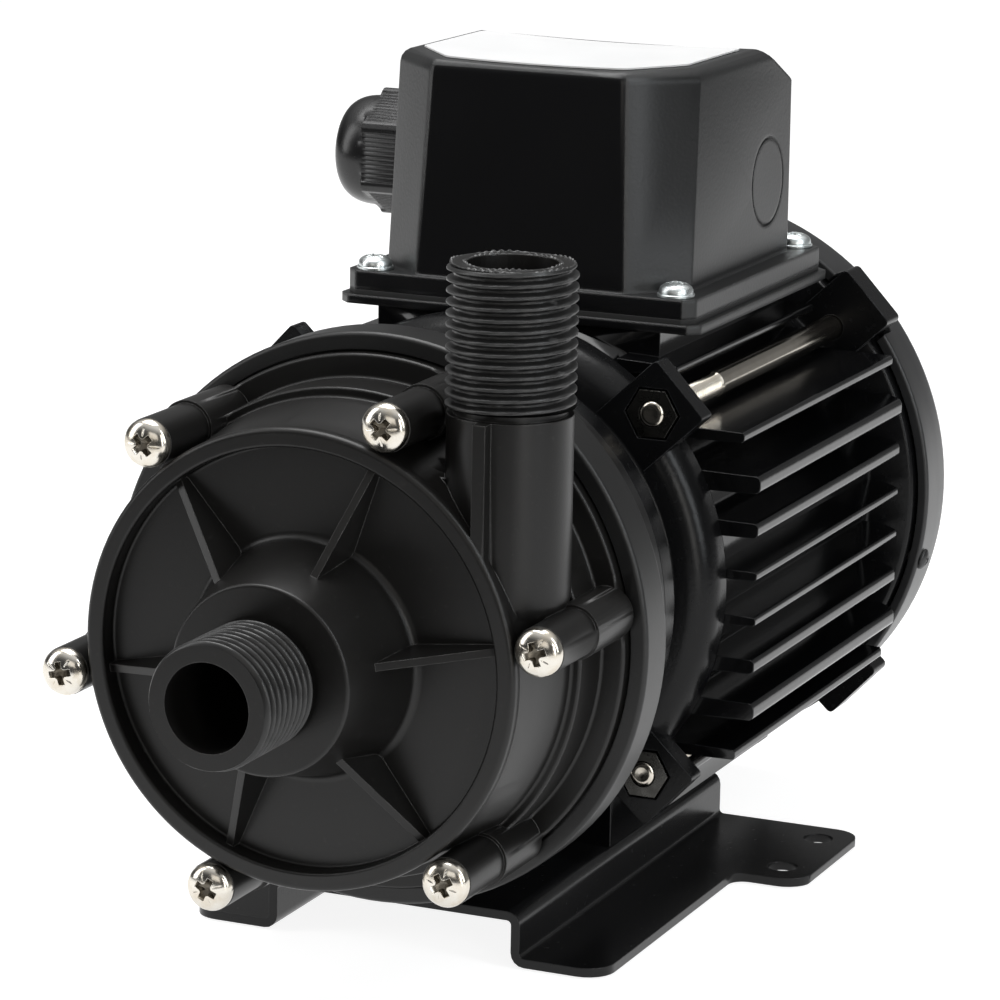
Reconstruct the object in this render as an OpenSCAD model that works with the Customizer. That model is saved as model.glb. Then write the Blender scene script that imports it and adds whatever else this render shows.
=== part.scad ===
// Magnetic drive pump: moulded pump head with threaded inlet and outlet, magnetic coupling,
// finned motor with terminal box, and a folded sheet base. Millimetres, +Z up, inlet towards -Y.
// The origin is the middle of the four base holes on the mounting plane.

/* [Overall] */
// Height of the pump axis above the mounting plane
axis_h = 59.5; // [58:0.5:66]
// Distance from the pump head's front rim to the middle of the base holes
rim_to_holes = 117; // [114:0.5:120]

/* [Ports] */
// Major diameter of the port threads (G 1/2)
port_thread_d = 20.955; // [19:0.005:22]
// Bore of both ports
port_bore_d = 14.6; // [12:0.1:15.6]
// Length of the inlet thread
inlet_thread_l = 16.8; // [14:0.2:22]
// Length of the outlet thread
outlet_thread_l = 24; // [18:0.5:30]
// Height of the outlet's end above the pump axis
outlet_h = 65.7; // [62:0.1:76]
// Sideways distance from the pump axis to the outlet axis
outlet_x = 31.1; // [30:0.1:32]
// Distance from the front rim back to the outlet axis
outlet_y = 13; // [12:0.5:15]

/* [Pump head] */
// Outer radius of the front rim
rim_r = 38.2; // [37.6:0.1:38.6]
// Width of the front rim
rim_w = 3.2; // [2:0.1:5]
// Depth of the ribbed disc behind the front rim
disc_recess = 3.5; // [2:0.1:4]
// Thickness of the disc wall
disc_t = 3; // [2.4:0.1:4]
// Radius of the collar behind the inlet thread
collar_r = 15.6; // [14:0.1:17]
// Height of the collar's face above the front rim
collar_h = 13; // [11:0.5:15]
// Thickness of a disc rib at its crest
rib_t = 1.3; // [0.8:0.1:2.5]
// Depth from the front rim to the casing flange
casing_depth = 28; // [26:0.5:31]
// Radius of the pump chamber
chamber_r = 33.5; // [31:0.1:34]
// Radius of the casing flange
casing_flange_r = 45.5; // [45:0.1:46.5]
// Thickness of the casing flange
casing_flange_t = 3.2; // [3:0.1:5]
// Number of casing screws
casing_screw_n = 6; // [4:1:8]
// Radius of the casing screw circle
casing_screw_r = 42.7; // [42.2:0.1:43]
// Angle of the first casing screw above the horizontal
casing_screw_angle = 9.1; // [4:0.1:14]
// Radius of a casing screw boss
boss_r = 4.1; // [3.6:0.1:4.5]

/* [Magnetic coupling] */
// Outer radius of the containment can
can_r = 22; // [20:0.1:23]
// Wall of the containment can
can_t = 1.4; // [1:0.1:2]
// Depth of the containment can behind the casing flange
can_l = 28.8; // [24:0.2:29]
// Radius of the ceramic spindle
spindle_r = 4; // [3:0.1:5]
// Radius of the impeller
impeller_r = 30; // [26:0.5:30.5]
// Height of the impeller vanes
vane_h = 11; // [7:0.5:13]
// Number of impeller vanes
vane_n = 6; // [4:1:8]
// Radial thickness of the drive magnets
drive_magnet_t = 4.9; // [3:0.1:5.5]
// Number of drive magnets
drive_magnet_n = 8; // [4:2:12]
// Thickness of the drive hub's outer ring
drive_ring_t = 3.6; // [2.5:0.1:3.8]

/* [Motor] */
// Outer radius of the bracket ring behind the casing flange
bracket_ring_r = 48.8; // [48:0.1:50]
// Width of the bracket ring
bracket_ring_w = 8.7; // [8:0.1:11]
// Length from the bracket's seat for the casing to the motor's front shield
bracket_l = 24.8; // [23:0.2:27]
// Radius of the bracket neck and of the front shield's nose
neck_r = 41.5; // [41:0.1:43]
// Length of the front end shield
shield_l = 20; // [19:0.5:24]
// Radius of the front end shield where it meets the frame
shield_r = 45; // [44:0.1:46]
// Length of the finned motor frame
frame_l = 79; // [76:0.5:90]
// Radius of the motor frame's core
frame_r = 42.5; // [41.5:0.1:43]
// Wall of the motor frame round the stator core
frame_wall = 4.1; // [3.6:0.1:6.4]
// Length of the stator core
stator_l = 46; // [36:1:50]
// Radius of the motor shaft
shaft_r = 6; // [5:0.1:6]
// Distance between cooling fins
fin_pitch = 8; // [7.5:0.1:8.2]
// Radius of the tie rod circle
rod_ring_r = 46.3; // [45.8:0.1:47]
// Angle of the tie rods above the horizontal
rod_angle = 43.2; // [42:0.1:46]
// Diameter of the tie rods
rod_d = 4.6; // [4:0.1:5]
// Width of a tie rod lug
lug_w = 13; // [12:0.1:15]
// Thickness of a tie rod lug
lug_t = 4.4; // [4:0.1:6]
// Radius of the fan cover at its front edge
cover_r = 53.2; // [52.4:0.1:55]
// Length of the fan cover
cover_l = 15; // [14:0.5:24]
// Wall of the fan cover
cover_t = 1.8; // [1.4:0.1:2]

/* [Terminal box] */
// Half width of the box flange
box_half_w = 33.2; // [32.6:0.1:36]
// Length of the box flange
box_l = 67; // [64:0.5:67.5]
// Distance from the front rim to the middle of the box flange
box_mid = 120.1; // [118.5:0.1:120.5]
// Depth of the box's seat below the top of the motor frame
box_seat_cut = 0.5; // [0.1:0.1:1]
// Thickness of the cover's flange
box_flange_t = 3.4; // [2.5:0.1:4]
// Height of the cover above its flange
box_cover_h = 38.7; // [34:0.1:44]
// Wall of the cover
box_wall = 2; // [1.6:0.1:2.2]
// Draft of the cover's side walls
box_draft = 0.6; // [0.2:0.1:1.5]
// Height of the cable gland above the pump axis
gland_h = 62.2; // [60:0.1:64]
// Thread diameter of the cable gland
gland_d = 15.2; // [12:0.1:15.4]
// Bore of the cable gland
gland_bore_d = 9; // [7:0.1:9.4]

/* [Base] */
// Thickness of the base sheet
sheet_t = 1.6; // [1.2:0.1:2]
// Height of the motor's seat above the mounting plane
seat_h = 9.6; // [9:0.1:11]
// Half width of the raised platform
platform_half_w = 23.6; // [22:0.1:26]
// Half width over the narrow side flanges
flange_half_w = 39; // [37:0.5:42]
// Half width over the ears
ear_half_w = 52; // [51:0.5:56]
// Length of the base
base_l = 95; // [92:0.5:95.5]
// Length of the ears
ear_l = 33; // [30:0.5:38]
// Distance between the base holes across the pump
hole_dx = 91.4; // [88:0.2:92]
// Distance between the base holes along the pump
hole_dy = 19; // [16:0.5:22]
// Diameter of the base holes
hole_d = 5.5; // [4.5:0.1:6]

/* [Hidden] */
$fn = 64;

// Clearances
run_fit = 0.05;
slip_fit = 0.1;
hole_fit = 0.15;
air_gap = 0.8;
rotor_gap = 0.5;
end_play = 0.4;
overlap = 0.5;

// Stations along the axis, measured back from the front rim
disc_y = disc_recess;
chamber_y = disc_y + disc_t;
joint_y = casing_depth + casing_flange_t;
shield_y = joint_y + bracket_l;
frame_y = shield_y + shield_l;
rear_y = frame_y + frame_l;
box_y = box_mid;

// Port values
port_r = port_thread_d / 2;
bore_r = port_bore_d / 2;
relief_r = port_r - 1.3;
relief_l = 1.2;
port_chamfer = 0.5;
inlet_y = -collar_h - relief_l - inlet_thread_l;
eye_r = 12;
eye_l = 11;

// Drum and ledge of the front casing
drum_r = rim_r + 1.5;
ledge_r = drum_r + 1.7;
ledge_y = casing_depth - 8.5;
boss_base_r = collar_r + 4;
fillet = 1.6;

// Screw sizes: shank radius, head radius, head height
m4 = [2, 4, 2.6];
m3 = [1.5, 3, 2];
m2 = [1.25, 2, 1.1];
thread_grip = 6.8;

// Rear casing and its seal
plate_r = casing_screw_r - m4[0] - 1;
plate_t = 3;
plate_y = joint_y - plate_t;
seal_r = (chamber_r + plate_r) / 2;
seal_d = 1.9;
can_end_y = joint_y + can_l;
can_inner_r = can_r - can_t;

// Impeller stack
hub_r = spindle_r + 1.4;
ring_t = 1.5;
bush_y = chamber_y + ring_t + end_play;
bush_r = spindle_r + 3;
shroud_t = 1.5;
shroud_y = bush_y + 1;
vane_y = shroud_y + shroud_t;
back_y = vane_y + vane_h;
magnet_can_r = can_inner_r - air_gap;
capsule_end_y = can_end_y - can_t - 6;
driven_magnet_y = back_y + 4;
socket_l = 5;

// Drive hub
drive_in_r = can_r + air_gap;
drive_ring_in_r = drive_in_r + drive_magnet_t;
drive_ring_r = drive_ring_in_r + slip_fit + drive_ring_t;
drive_y = joint_y + 1;
hub_base_y = can_end_y + 1.2;
hub_base_t = 4;
hub_boss_r = shaft_r + 5;
hub_end_y = hub_base_y + hub_base_t + 5;
grub_r = 1.5;
grub_y = hub_end_y - 2.6;

// Stator core in the frame's bore
stator_r = frame_r - frame_wall;

// Bearings 28 mm across and 8 mm wide
bearing_r = 14;
bearing_w = 8;
front_bearing_y = hub_end_y + 1.2;
rear_bearing_y = rear_y - 3;
housing_t = 3.6;

// Bracket
bracket_in_r = drive_ring_r + 2.4;
ring_front_y = joint_y - 1.4;
bracket_screw_r = (bracket_in_r + neck_r) / 2;

// Front shield
nose_r = neck_r - 3.5;
nose_flange_l = 5;
shoulder_y = frame_y - 8.5;
lug_y = frame_y - 8.4;
lug_reach = rod_ring_r + 6.7;
lug_root_r = nose_r - 2;
rod_r = rod_d / 2;
ROD_ANGLES = [rod_angle, 180 - rod_angle, 180 + rod_angle, 360 - rod_angle];
nut_af = 8;
nut_t = 3.2;
rod_head_t = 3;
pocket_af = 8.8;
pocket_t = 3;

// Fins as [place in pitches from the middle, thickness, reach less than the longest]
FINS = [[0.5, 1.5, 0.2], [1.5, 2.5, 0.2], [2.5, 3, 0], [3.5, 1.7, 3.2]];
fin_reach = cover_r - 2.6;
fin_drop = 0.75;
fin_cut = 5;
top_fin = [4.65, 1.4, 18];
foot_half_w = 23;
pad_half_w = 27;

// Rear shield and fan space
rear_ring_l = 6;
rear_lug_y = rear_y + 3;
rear_lug_reach = rod_ring_r + 9.7;
rear_rim_r = cover_r - cover_t - 0.6 - slip_fit;
rear_l = rear_ring_l + 4;
cover_y = rear_y + rear_ring_l;
cover_end_y = cover_y + cover_l;
fan_y = rear_y + rear_l + 1.6;
fan_h = cover_end_y - cover_t - 1.6 - fan_y;
fan_r = rod_ring_r - nut_af / sqrt(3) - 1.5;
notch_d = rear_l - rear_ring_l + 0.8;
rim_depth = 7.5;
cover_screw_place = rear_rim_r - rim_depth - 1;

// Terminal box levels
gasket_t = 0.9;
base_plate_t = 1.6;
box_seat_h = frame_r - box_seat_cut;
gasket_h = box_seat_h + base_plate_t;
flange_h = gasket_h + gasket_t;
cover_foot_h = flange_h + box_flange_t;
cover_top_h = cover_foot_h + box_cover_h;
cover_half_w = box_half_w - 3.9;
front_half_w = cover_half_w - 9.3;
facet_l = 8.8;
facet_turn = atan(facet_l / (cover_half_w - front_half_w));
edge_r = 2.2;
front_lean = 2.4;
facet_lean = 1.7;
box_front = -box_l / 2;
box_back = box_l / 2;
cover_front = box_front + 0.7;
cover_back = box_back - 7.1;
top_slope_l = 15.5;
top_slope_h = 7.4;
top_dip = 0.85;
dip_w = cover_half_w - box_draft;
dip_r = (dip_w * dip_w + top_dip * top_dip) / (2 * top_dip);
cover_screw_x = box_half_w - 4.4;
cover_screw_y = box_l / 2 - 3.4;
rim_inset = box_wall + 2.6;
base_screw_x = cover_half_w - rim_inset - m3[1] - 2.7;
base_screw_y = cover_back - rim_inset - m3[1] - 0.5;
gland_y = cover_back - 12.6;
gland_r = gland_d / 2;
gland_bore_r = gland_bore_d / 2;
gland_af = gland_d + 5.8;
locknut_af = gland_d + 2.8;
nut_dome_r = gland_af / 2 - 0.2;
draft_slope = box_draft / (cover_top_h - flange_h);
wall_x = cover_half_w - draft_slope * (gland_h - flange_h);

// Base levels, above the pump axis
floor_h = -axis_h;
seat_z = seat_h - axis_h;
bend_r = 2.4;
base_front = rim_to_holes + ear_l / 2 - base_l;
foot_screw_x = 15;
foot_screw_dy = 40;
foot_screw_y = base_front + base_l - 27;

// Lower-level shapes

// Rounds each corner [x, y, radius] of an outline with an arc of so many steps
function unit(v) = v / norm(v);
function corner_arc(c, r, a0, sweep, steps) =
    [for (k = [0:steps]) c + r * [cos(a0 + sweep * k / steps), sin(a0 + sweep * k / steps)]];
function corner(p, i, steps) =
    let (
        n = len(p),
        here = [p[i][0], p[i][1]],
        u = unit([p[(i + n - 1) % n][0], p[(i + n - 1) % n][1]] - here),
        v = unit([p[(i + 1) % n][0], p[(i + 1) % n][1]] - here),
        r = is_undef(p[i][2]) ? 0 : p[i][2]
    )
    r == 0 ? [here] :
    let (
        half = acos(u * v) / 2,
        c = here + unit(u + v) * (r / sin(half)),
        s = here + u * (r / tan(half)) - c,
        e = here + v * (r / tan(half)) - c,
        a0 = atan2(s[1], s[0]),
        sweep = (atan2(e[1], e[0]) - a0 + 540) % 360 - 180
    )
    corner_arc(c, r, a0, sweep, steps);
function rounded(p, steps = 4) = [for (i = [0:len(p) - 1]) each corner(p, i, steps)];

// Puts the pump axis at its height and the base holes' middle at the origin
module placed() {
    translate([0, -rim_to_holes, axis_h])
        children();
}

// Turns an outline in radius and distance along the axis about the pump axis
module turned() {
    rotate([-90, 0, 0])
        rotate_extrude()
            children();
}

// Round bar along Y
module bar_y(r, y0, y1, x = 0, z = 0) {
    translate([x, y0, z])
        rotate([-90, 0, 0])
            cylinder(r = r, h = y1 - y0);
}

// Tube along Y
module tube_y(r_out, r_in, y0, y1) {
    difference() {
        bar_y(r_out, y0, y1);
        bar_y(r_in, y0 - overlap, y1 + overlap);
    }
}

// Extrudes an outline in X and Z along Y
module along_y(y0, y1) {
    translate([0, y1, 0])
        rotate([90, 0, 0])
            linear_extrude(y1 - y0)
                children();
}

// Extrudes an outline in Y and Z along X
module along_x(x0, x1) {
    translate([x0, 0, 0])
        rotate([90, 0, 90])
            linear_extrude(x1 - x0)
                children();
}

// Repeats a child about the pump axis, starting at an angle above +X
module around(n, start = 0) {
    for (i = [0:n - 1])
        rotate([0, -start - 360 / n * i, 0])
            children();
}

// Pan head screw along +Y, its head's seat at y = 0, with a cross recess
module pan_screw(size, l) {
    shank = size[0];
    head = size[1];
    height = size[2];
    slot = head * 0.24;
    difference() {
        turned()
            polygon(rounded([
                [0, -height],
                [head * 0.45, -height, head],
                [head, -height * 0.45, head * 0.3],
                [head, 0],
                [shank, 0],
                [shank, l - 0.4],
                [shank - 0.4, l],
                [0, l]
            ], 6));
        for (turn = [45, 135])
            rotate([0, turn, 0])
                translate([-head * 0.5, -height - overlap, -slot / 2])
                    cube([head, overlap + height * 0.5, slot]);
    }
}

// Hexagon along +Y from y = 0
module hexagon(af, t) {
    rotate([-90, 0, 0])
        cylinder(d = af / cos(30), h = t, $fn = 6);
}

// Square lug that carries a tie rod, pointing along +X
module rod_lug(y0, y1, reach, corner_r) {
    half = lug_w / 2;
    along_y(y0, y1)
        polygon(rounded([
            [lug_root_r, -half],
            [reach, -half, corner_r],
            [reach, half, corner_r],
            [lug_root_r, half]
        ]));
}

// Turns a child that points along +X to each tie rod
module lug_places() {
    for (a = ROD_ANGLES)
        rotate([0, -a, 0])
            children();
}

// Moves a child to each tie rod without turning it
module rod_places() {
    for (a = ROD_ANGLES)
        translate([rod_ring_r * cos(a), 0, rod_ring_r * sin(a)])
            children();
}

// Pump head

// Rib on the front disc, drafted from its crest down to the disc
module disc_rib() {
    inner = [collar_r + 1, -collar_h * 0.5];
    outer = [rim_r - rim_w + overlap, disc_recess * 0.55];
    slope = atan2(outer[1] - inner[1], outer[0] - inner[0]);
    deep = collar_h;
    spread = rib_t / 2 + deep * 0.1;
    intersection() {
        translate([inner[0], inner[1], 0])
            rotate([0, 90, 0])
                rotate([-slope, 0, 0])
                    translate([0, 0, -collar_r])
                        linear_extrude(2 * rim_r)
                            polygon([[-rib_t / 2, 0], [rib_t / 2, 0], [spread, deep], [-spread, deep]]);
        translate([0, 0, -deep])
            linear_extrude(2 * deep)
                polygon([
                    [eye_r + 1.5, -collar_h],
                    [rim_r - rim_w + overlap, -collar_h],
                    [rim_r - rim_w + overlap, disc_y + disc_t / 2],
                    [eye_r + 1.5, disc_y + disc_t / 2]
                ]);
    }
}

// Revolved wall of the front casing with inlet, collar, disc, rim, drum and flange
module casing_wall() {
    turned()
        polygon(rounded([
            [bore_r, inlet_y],
            [port_r - port_chamfer, inlet_y],
            [port_r, inlet_y + port_chamfer],
            [port_r, -collar_h - relief_l],
            [relief_r, -collar_h - relief_l],
            [relief_r, -collar_h],
            [collar_r, -collar_h, 0.6],
            [boss_base_r, disc_y, fillet],
            [rim_r - rim_w, disc_y, 0.5],
            [rim_r - rim_w, 0, 0.6],
            [rim_r, 0, 0.9],
            [rim_r, 2.3],
            [rim_r - 0.4, 2.7],
            [drum_r, ledge_y, 0.6],
            [ledge_r, ledge_y, 0.5],
            [ledge_r, casing_depth, 0.6],
            [casing_flange_r, casing_depth, 0.6],
            [casing_flange_r, joint_y],
            [plate_r + slip_fit, joint_y],
            [plate_r + slip_fit, plate_y],
            [seal_r + seal_d * 0.65, plate_y],
            [seal_r + seal_d * 0.65, plate_y - seal_d - run_fit],
            [seal_r - seal_d * 0.65, plate_y - seal_d - run_fit],
            [seal_r - seal_d * 0.65, plate_y],
            [chamber_r, plate_y],
            [chamber_r, chamber_y, 1.5],
            [eye_r, chamber_y],
            [eye_r, chamber_y - 4.5, 2],
            [bore_r, chamber_y - 4.5 - eye_l, 4]
        ]));
}

// Vertical outlet with its nose running out on the drum
module outlet_body() {
    nose_top = 12;
    nose_l = 10;
    neck_top = outlet_h - outlet_thread_l;
    tube_r = port_r - 0.3;
    neck_rib_t = 2.2;
    neck_rib_h = 2.2;
    translate([outlet_x, outlet_y, 0]) {
        translate([0, 0, nose_top - nose_l])
            cylinder(r1 = tube_r - 3, r2 = tube_r, h = nose_l);
        translate([0, 0, nose_top])
            cylinder(r = tube_r, h = neck_top - nose_top);
        translate([-neck_rib_t / 2, -tube_r - neck_rib_h, nose_top])
            cube([neck_rib_t, tube_r, neck_top - nose_top]);
        translate([0, 0, neck_top])
            cylinder(r = relief_r, h = relief_l);
        translate([0, 0, neck_top + relief_l])
            cylinder(r = port_r, h = outlet_thread_l - relief_l - port_chamfer);
        translate([0, 0, outlet_h - port_chamfer])
            cylinder(r1 = port_r, r2 = port_r - port_chamfer, h = port_chamfer);
    }
}

// Spider in the inlet eye that holds the spindle's front end
module spindle_spider() {
    arm_t = 2;
    difference() {
        union() {
            turned()
                polygon(rounded([
                    [0, chamber_y - 6.5],
                    [hub_r, chamber_y - 5, 1],
                    [hub_r, chamber_y],
                    [0, chamber_y]
                ]));
            around(3, 90)
                translate([hub_r - 1, chamber_y - 4, -arm_t / 2])
                    cube([eye_r - hub_r + 2, 3.5, arm_t]);
        }
        bar_y(spindle_r + run_fit, chamber_y - 4, chamber_y + overlap);
    }
}

module front_casing() {
    step_y = casing_depth / 2;
    color("#2b2b2c") placed() {
        difference() {
            union() {
                casing_wall();
                outlet_cleared();
                around(casing_screw_n, casing_screw_angle) {
                    disc_rib();
                    bar_y(boss_r, 0.8, casing_depth + overlap, casing_screw_r);
                    bar_y(boss_r + 0.5, step_y, casing_depth + overlap, casing_screw_r);
                }
            }
            around(casing_screw_n, casing_screw_angle)
                bar_y(m4[0] + hole_fit, -overlap, joint_y + overlap, casing_screw_r);
            bar_y(plate_r + slip_fit, plate_y, joint_y + overlap);
            translate([outlet_x, outlet_y, 14])
                cylinder(r = bore_r, h = outlet_h);
        }
        spindle_spider();
    }
}

// Outlet with the pump chamber kept open behind it
module outlet_cleared() {
    difference() {
        outlet_body();
        bar_y(chamber_r, chamber_y + 1, casing_depth);
        bar_y(rim_r - rim_w, -collar_h, disc_y + overlap);
    }
}

module casing_screws() {
    color("#c9c6bd") placed()
        around(casing_screw_n, casing_screw_angle)
            translate([casing_screw_r, 0.8, 0])
                pan_screw(m4, joint_y - 0.8 + thread_grip - 1);
}

module casing_o_ring() {
    color("#1a1a1a") placed()
        turned()
            translate([seal_r, plate_y - seal_d / 2 - run_fit / 2])
                circle(r = seal_d / 2);
}

module rear_casing() {
    color("#34343a") placed()
        difference() {
            turned()
                polygon(rounded([
                    [can_inner_r, plate_y],
                    [plate_r, plate_y, 0.5],
                    [plate_r, joint_y],
                    [can_r, joint_y],
                    [can_r, can_end_y, 1.2],
                    [0, can_end_y],
                    [0, can_end_y - can_t],
                    [0, can_end_y - can_t - socket_l],
                    [hub_r, can_end_y - can_t - socket_l],
                    [hub_r, can_end_y - can_t],
                    [can_inner_r, can_end_y - can_t, 0.8]
                ]));
            bar_y(spindle_r + run_fit, can_end_y - can_t - socket_l - overlap, can_end_y - can_t);
        }
}

module spindle() {
    color("#e9e6dc") placed()
        bar_y(spindle_r, chamber_y - 4, can_end_y - can_t);
}

module thrust_ring() {
    color("#d9d4c4") placed()
        tube_y(hub_r + 0.8, spindle_r + run_fit, chamber_y, chamber_y + ring_t);
}

// Impeller: two shrouds, curved vanes and the sleeve that carries the driven magnet
module impeller() {
    sweep_r = impeller_r * 0.62;
    color("#3a3a40") placed()
        difference() {
            union() {
                tube_y(impeller_r, eye_r - 0.8, shroud_y, vane_y);
                bar_y(impeller_r, back_y, back_y + shroud_t);
                bar_y(bush_r + 2.2, vane_y, back_y + overlap);
                bar_y(magnet_can_r, back_y + shroud_t - overlap, capsule_end_y);
                intersection() {
                    tube_y(impeller_r, bush_r + 1.5, vane_y - 0.4, back_y + 0.4);
                    around(vane_n)
                        translate([sweep_r, 0, sweep_r * 0.55])
                            intersection() {
                                tube_y(sweep_r + 0.8, sweep_r - 0.8, vane_y - 0.4, back_y + 0.4);
                                translate([-2 * sweep_r, vane_y - 1, -2 * sweep_r])
                                    cube([4 * sweep_r, vane_h + 2, 2 * sweep_r]);
                            }
                }
            }
            bar_y(bush_r + slip_fit, vane_y - overlap, capsule_end_y + overlap);
            difference() {
                bar_y(magnet_can_r - 1.5, driven_magnet_y, capsule_end_y + overlap);
                bar_y(bush_r + 1.6, driven_magnet_y - overlap, capsule_end_y + 2 * overlap);
            }
        }
}

module impeller_bush() {
    color("#4a4742") placed()
        tube_y(bush_r, spindle_r + run_fit, bush_y, capsule_end_y);
}

module impeller_magnet() {
    color("#55524e") placed()
        tube_y(
            magnet_can_r - 1.5 - slip_fit,
            bush_r + 1.6 + slip_fit,
            driven_magnet_y,
            capsule_end_y - 0.5
        );
}

// Cup on the motor shaft that carries the drive magnets round the can
module drive_hub() {
    color("#8b8d90") placed()
        difference() {
            turned()
                polygon(rounded([
                    [drive_ring_in_r + slip_fit, drive_y],
                    [drive_ring_r, drive_y, 0.6],
                    [drive_ring_r, hub_base_y + hub_base_t, 1.5],
                    [hub_boss_r, hub_base_y + hub_base_t, 1.2],
                    [hub_boss_r, hub_end_y, 0.6],
                    [shaft_r + slip_fit / 2, hub_end_y],
                    [shaft_r + slip_fit / 2, hub_base_y],
                    [drive_ring_in_r + slip_fit, hub_base_y]
                ]));
            translate([0, grub_y, 0])
                cylinder(r = grub_r + slip_fit, h = hub_boss_r + overlap);
        }
}

module drive_magnets() {
    share = 360 / drive_magnet_n;
    gap_angle = 4;
    color("#5c5a58") placed()
        around(drive_magnet_n)
            rotate([-90, 0, 0])
                translate([0, 0, drive_y + 1])
                    rotate_extrude(angle = share - gap_angle)
                        translate([drive_in_r, 0])
                            square([drive_magnet_t, hub_base_y - drive_y - 1]);
}

module hub_grub_screw() {
    color("#4b4b4d") placed()
        translate([0, grub_y, shaft_r + slip_fit])
            difference() {
                cylinder(r = grub_r, h = hub_boss_r - shaft_r - 0.6);
                translate([0, 0, hub_boss_r - shaft_r - 2.2])
                    cylinder(d = grub_r, h = 2, $fn = 6);
            }
}

// Motor

// Ring and neck between the pump head and the motor
module pump_bracket() {
    counterbore_y = shield_y - 6;
    color("#252526") placed()
        difference() {
            turned()
                polygon(rounded([
                    [bracket_in_r, joint_y],
                    [casing_flange_r + 0.4, joint_y],
                    [casing_flange_r + 0.4, ring_front_y],
                    [bracket_ring_r, ring_front_y, 0.8],
                    [bracket_ring_r, ring_front_y + bracket_ring_w, 1],
                    [neck_r, ring_front_y + bracket_ring_w + 2, 2],
                    [neck_r, shield_y],
                    [bracket_in_r, shield_y]
                ]));
            around(casing_screw_n, casing_screw_angle)
                bar_y(m4[0] + run_fit, joint_y - overlap, joint_y + thread_grip, casing_screw_r);
            around(4, 45) {
                bar_y(m3[0] + hole_fit, joint_y - overlap, shield_y + overlap, bracket_screw_r);
                bar_y(m3[1] + hole_fit, joint_y - overlap, counterbore_y, bracket_screw_r);
            }
        }
}

module bracket_screws() {
    counterbore_y = shield_y - 6;
    color("#9b9c9e") placed()
        around(4, 45)
            translate([bracket_screw_r, counterbore_y, 0])
                pan_screw(m3, shield_y - counterbore_y + nose_flange_l - 1);
}

module front_end_shield() {
    cup_r = bracket_in_r;
    wall_y = front_bearing_y + 1;
    housing_r = bearing_r + housing_t;
    rod_hole = rod_r + hole_fit;
    color("#161617") placed()
        difference() {
            union() {
                turned()
                    polygon(rounded([
                        [cup_r, shield_y],
                        [neck_r, shield_y],
                        [neck_r, shield_y + nose_flange_l, 0.8],
                        [nose_r, shield_y + nose_flange_l, 0.8],
                        [nose_r, shoulder_y, 1],
                        [shield_r, shoulder_y + 1.6, 5.5],
                        [shield_r, frame_y],
                        [housing_r, frame_y],
                        [housing_r, front_bearing_y + bearing_w + 1],
                        [shaft_r + 1, front_bearing_y + bearing_w + 1],
                        [shaft_r + 1, front_bearing_y - 0.6],
                        [housing_r, front_bearing_y - 0.6],
                        [housing_r, wall_y],
                        [cup_r, wall_y, 2]
                    ]));
                lug_places()
                    rod_lug(lug_y, lug_y + lug_t, lug_reach, 0.8);
            }
            bar_y(bearing_r + slip_fit / 2, front_bearing_y, front_bearing_y + bearing_w + 2);
            rod_places() {
                bar_y(rod_hole, lug_y - overlap, frame_y + overlap);
                translate([0, lug_y - overlap, 0])
                    hexagon(pocket_af, pocket_t + overlap);
            }
            around(4, 45)
                bar_y(m3[0] + run_fit, shield_y - overlap, shield_y + nose_flange_l - 0.5, bracket_screw_r);
        }
}

// Cooling fin on both sides, given as [place, thickness, reach less than the longest]
module fin_pair(fin, y0, y1) {
    tip = fin_reach - fin[2];
    half = fin[1] / 2;
    root = half + 0.5;
    for (side = [-1, 1])
        scale([side, 1, 1])
            along_y(y0, y1)
                translate([0, fin[0] * fin_pitch - fin_drop])
                    polygon(rounded([
                        [frame_r / 2, -root],
                        [tip, -half, half * 0.7],
                        [tip, half, half * 0.7],
                        [frame_r / 2, root]
                    ]));
}

module motor_frame() {
    color("#141415") placed()
        difference() {
            union() {
                bar_y(frame_r, frame_y, rear_y);
                intersection() {
                    for (up = [-1, 1]) {
                        for (fin = FINS)
                            fin_pair([up * fin[0], fin[1], fin[2]], frame_y, rear_y);
                        fin_pair([up * top_fin[0], top_fin[1], top_fin[2]], frame_y + 6, rear_y - 4);
                    }
                    translate([0, 0, -frame_r])
                        linear_extrude(2 * frame_r)
                            fin_plan();
                }
                translate([-pad_half_w, box_y + box_front + 1, 0])
                    cube([2 * pad_half_w, box_l - 4, box_seat_h]);
                translate([-foot_half_w, frame_y + 4, seat_z])
                    cube([2 * foot_half_w, frame_l - 4, -seat_z]);
            }
            bar_y(stator_r, frame_y - overlap, rear_y + overlap);
            translate([-frame_r, frame_y - overlap, box_seat_h])
                cube([2 * frame_r, frame_l + 2 * overlap, frame_r]);
            translate([0, box_y, 0])
                cylinder(r = 9, h = box_seat_h + overlap);
            foot_screw_places()
                cylinder(r = m4[0] + run_fit, h = 8, center = true);
            box_screw_places(base_screw_x, base_screw_y)
                translate([0, 0, box_seat_h - 7])
                    cylinder(r = m3[0] + run_fit, h = 8);
            rod_places()
                bar_y(rod_r + 0.6, frame_y - overlap, rear_y + overlap);
        }
}

// Plan of the fins, cut back at the rear
module fin_plan() {
    reach = fin_reach + 1;
    polygon([
        [-reach, frame_y],
        [reach, frame_y],
        [reach, rear_y - fin_cut],
        [reach - fin_cut, rear_y],
        [-reach + fin_cut, rear_y],
        [-reach, rear_y - fin_cut]
    ]);
}

// Places of the four screws that hold the motor's foot on the base
module foot_screw_places() {
    for (side = [-1, 1])
        for (end = [-1, 1])
            translate([side * foot_screw_x, foot_screw_y + end * foot_screw_dy / 2, seat_z])
                children();
}

// Four places round the middle of the terminal box
module box_screw_places(dx, dy) {
    for (side = [-1, 1])
        for (end = [-1, 1])
            translate([side * dx, box_y + end * dy, 0])
                children();
}

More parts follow.
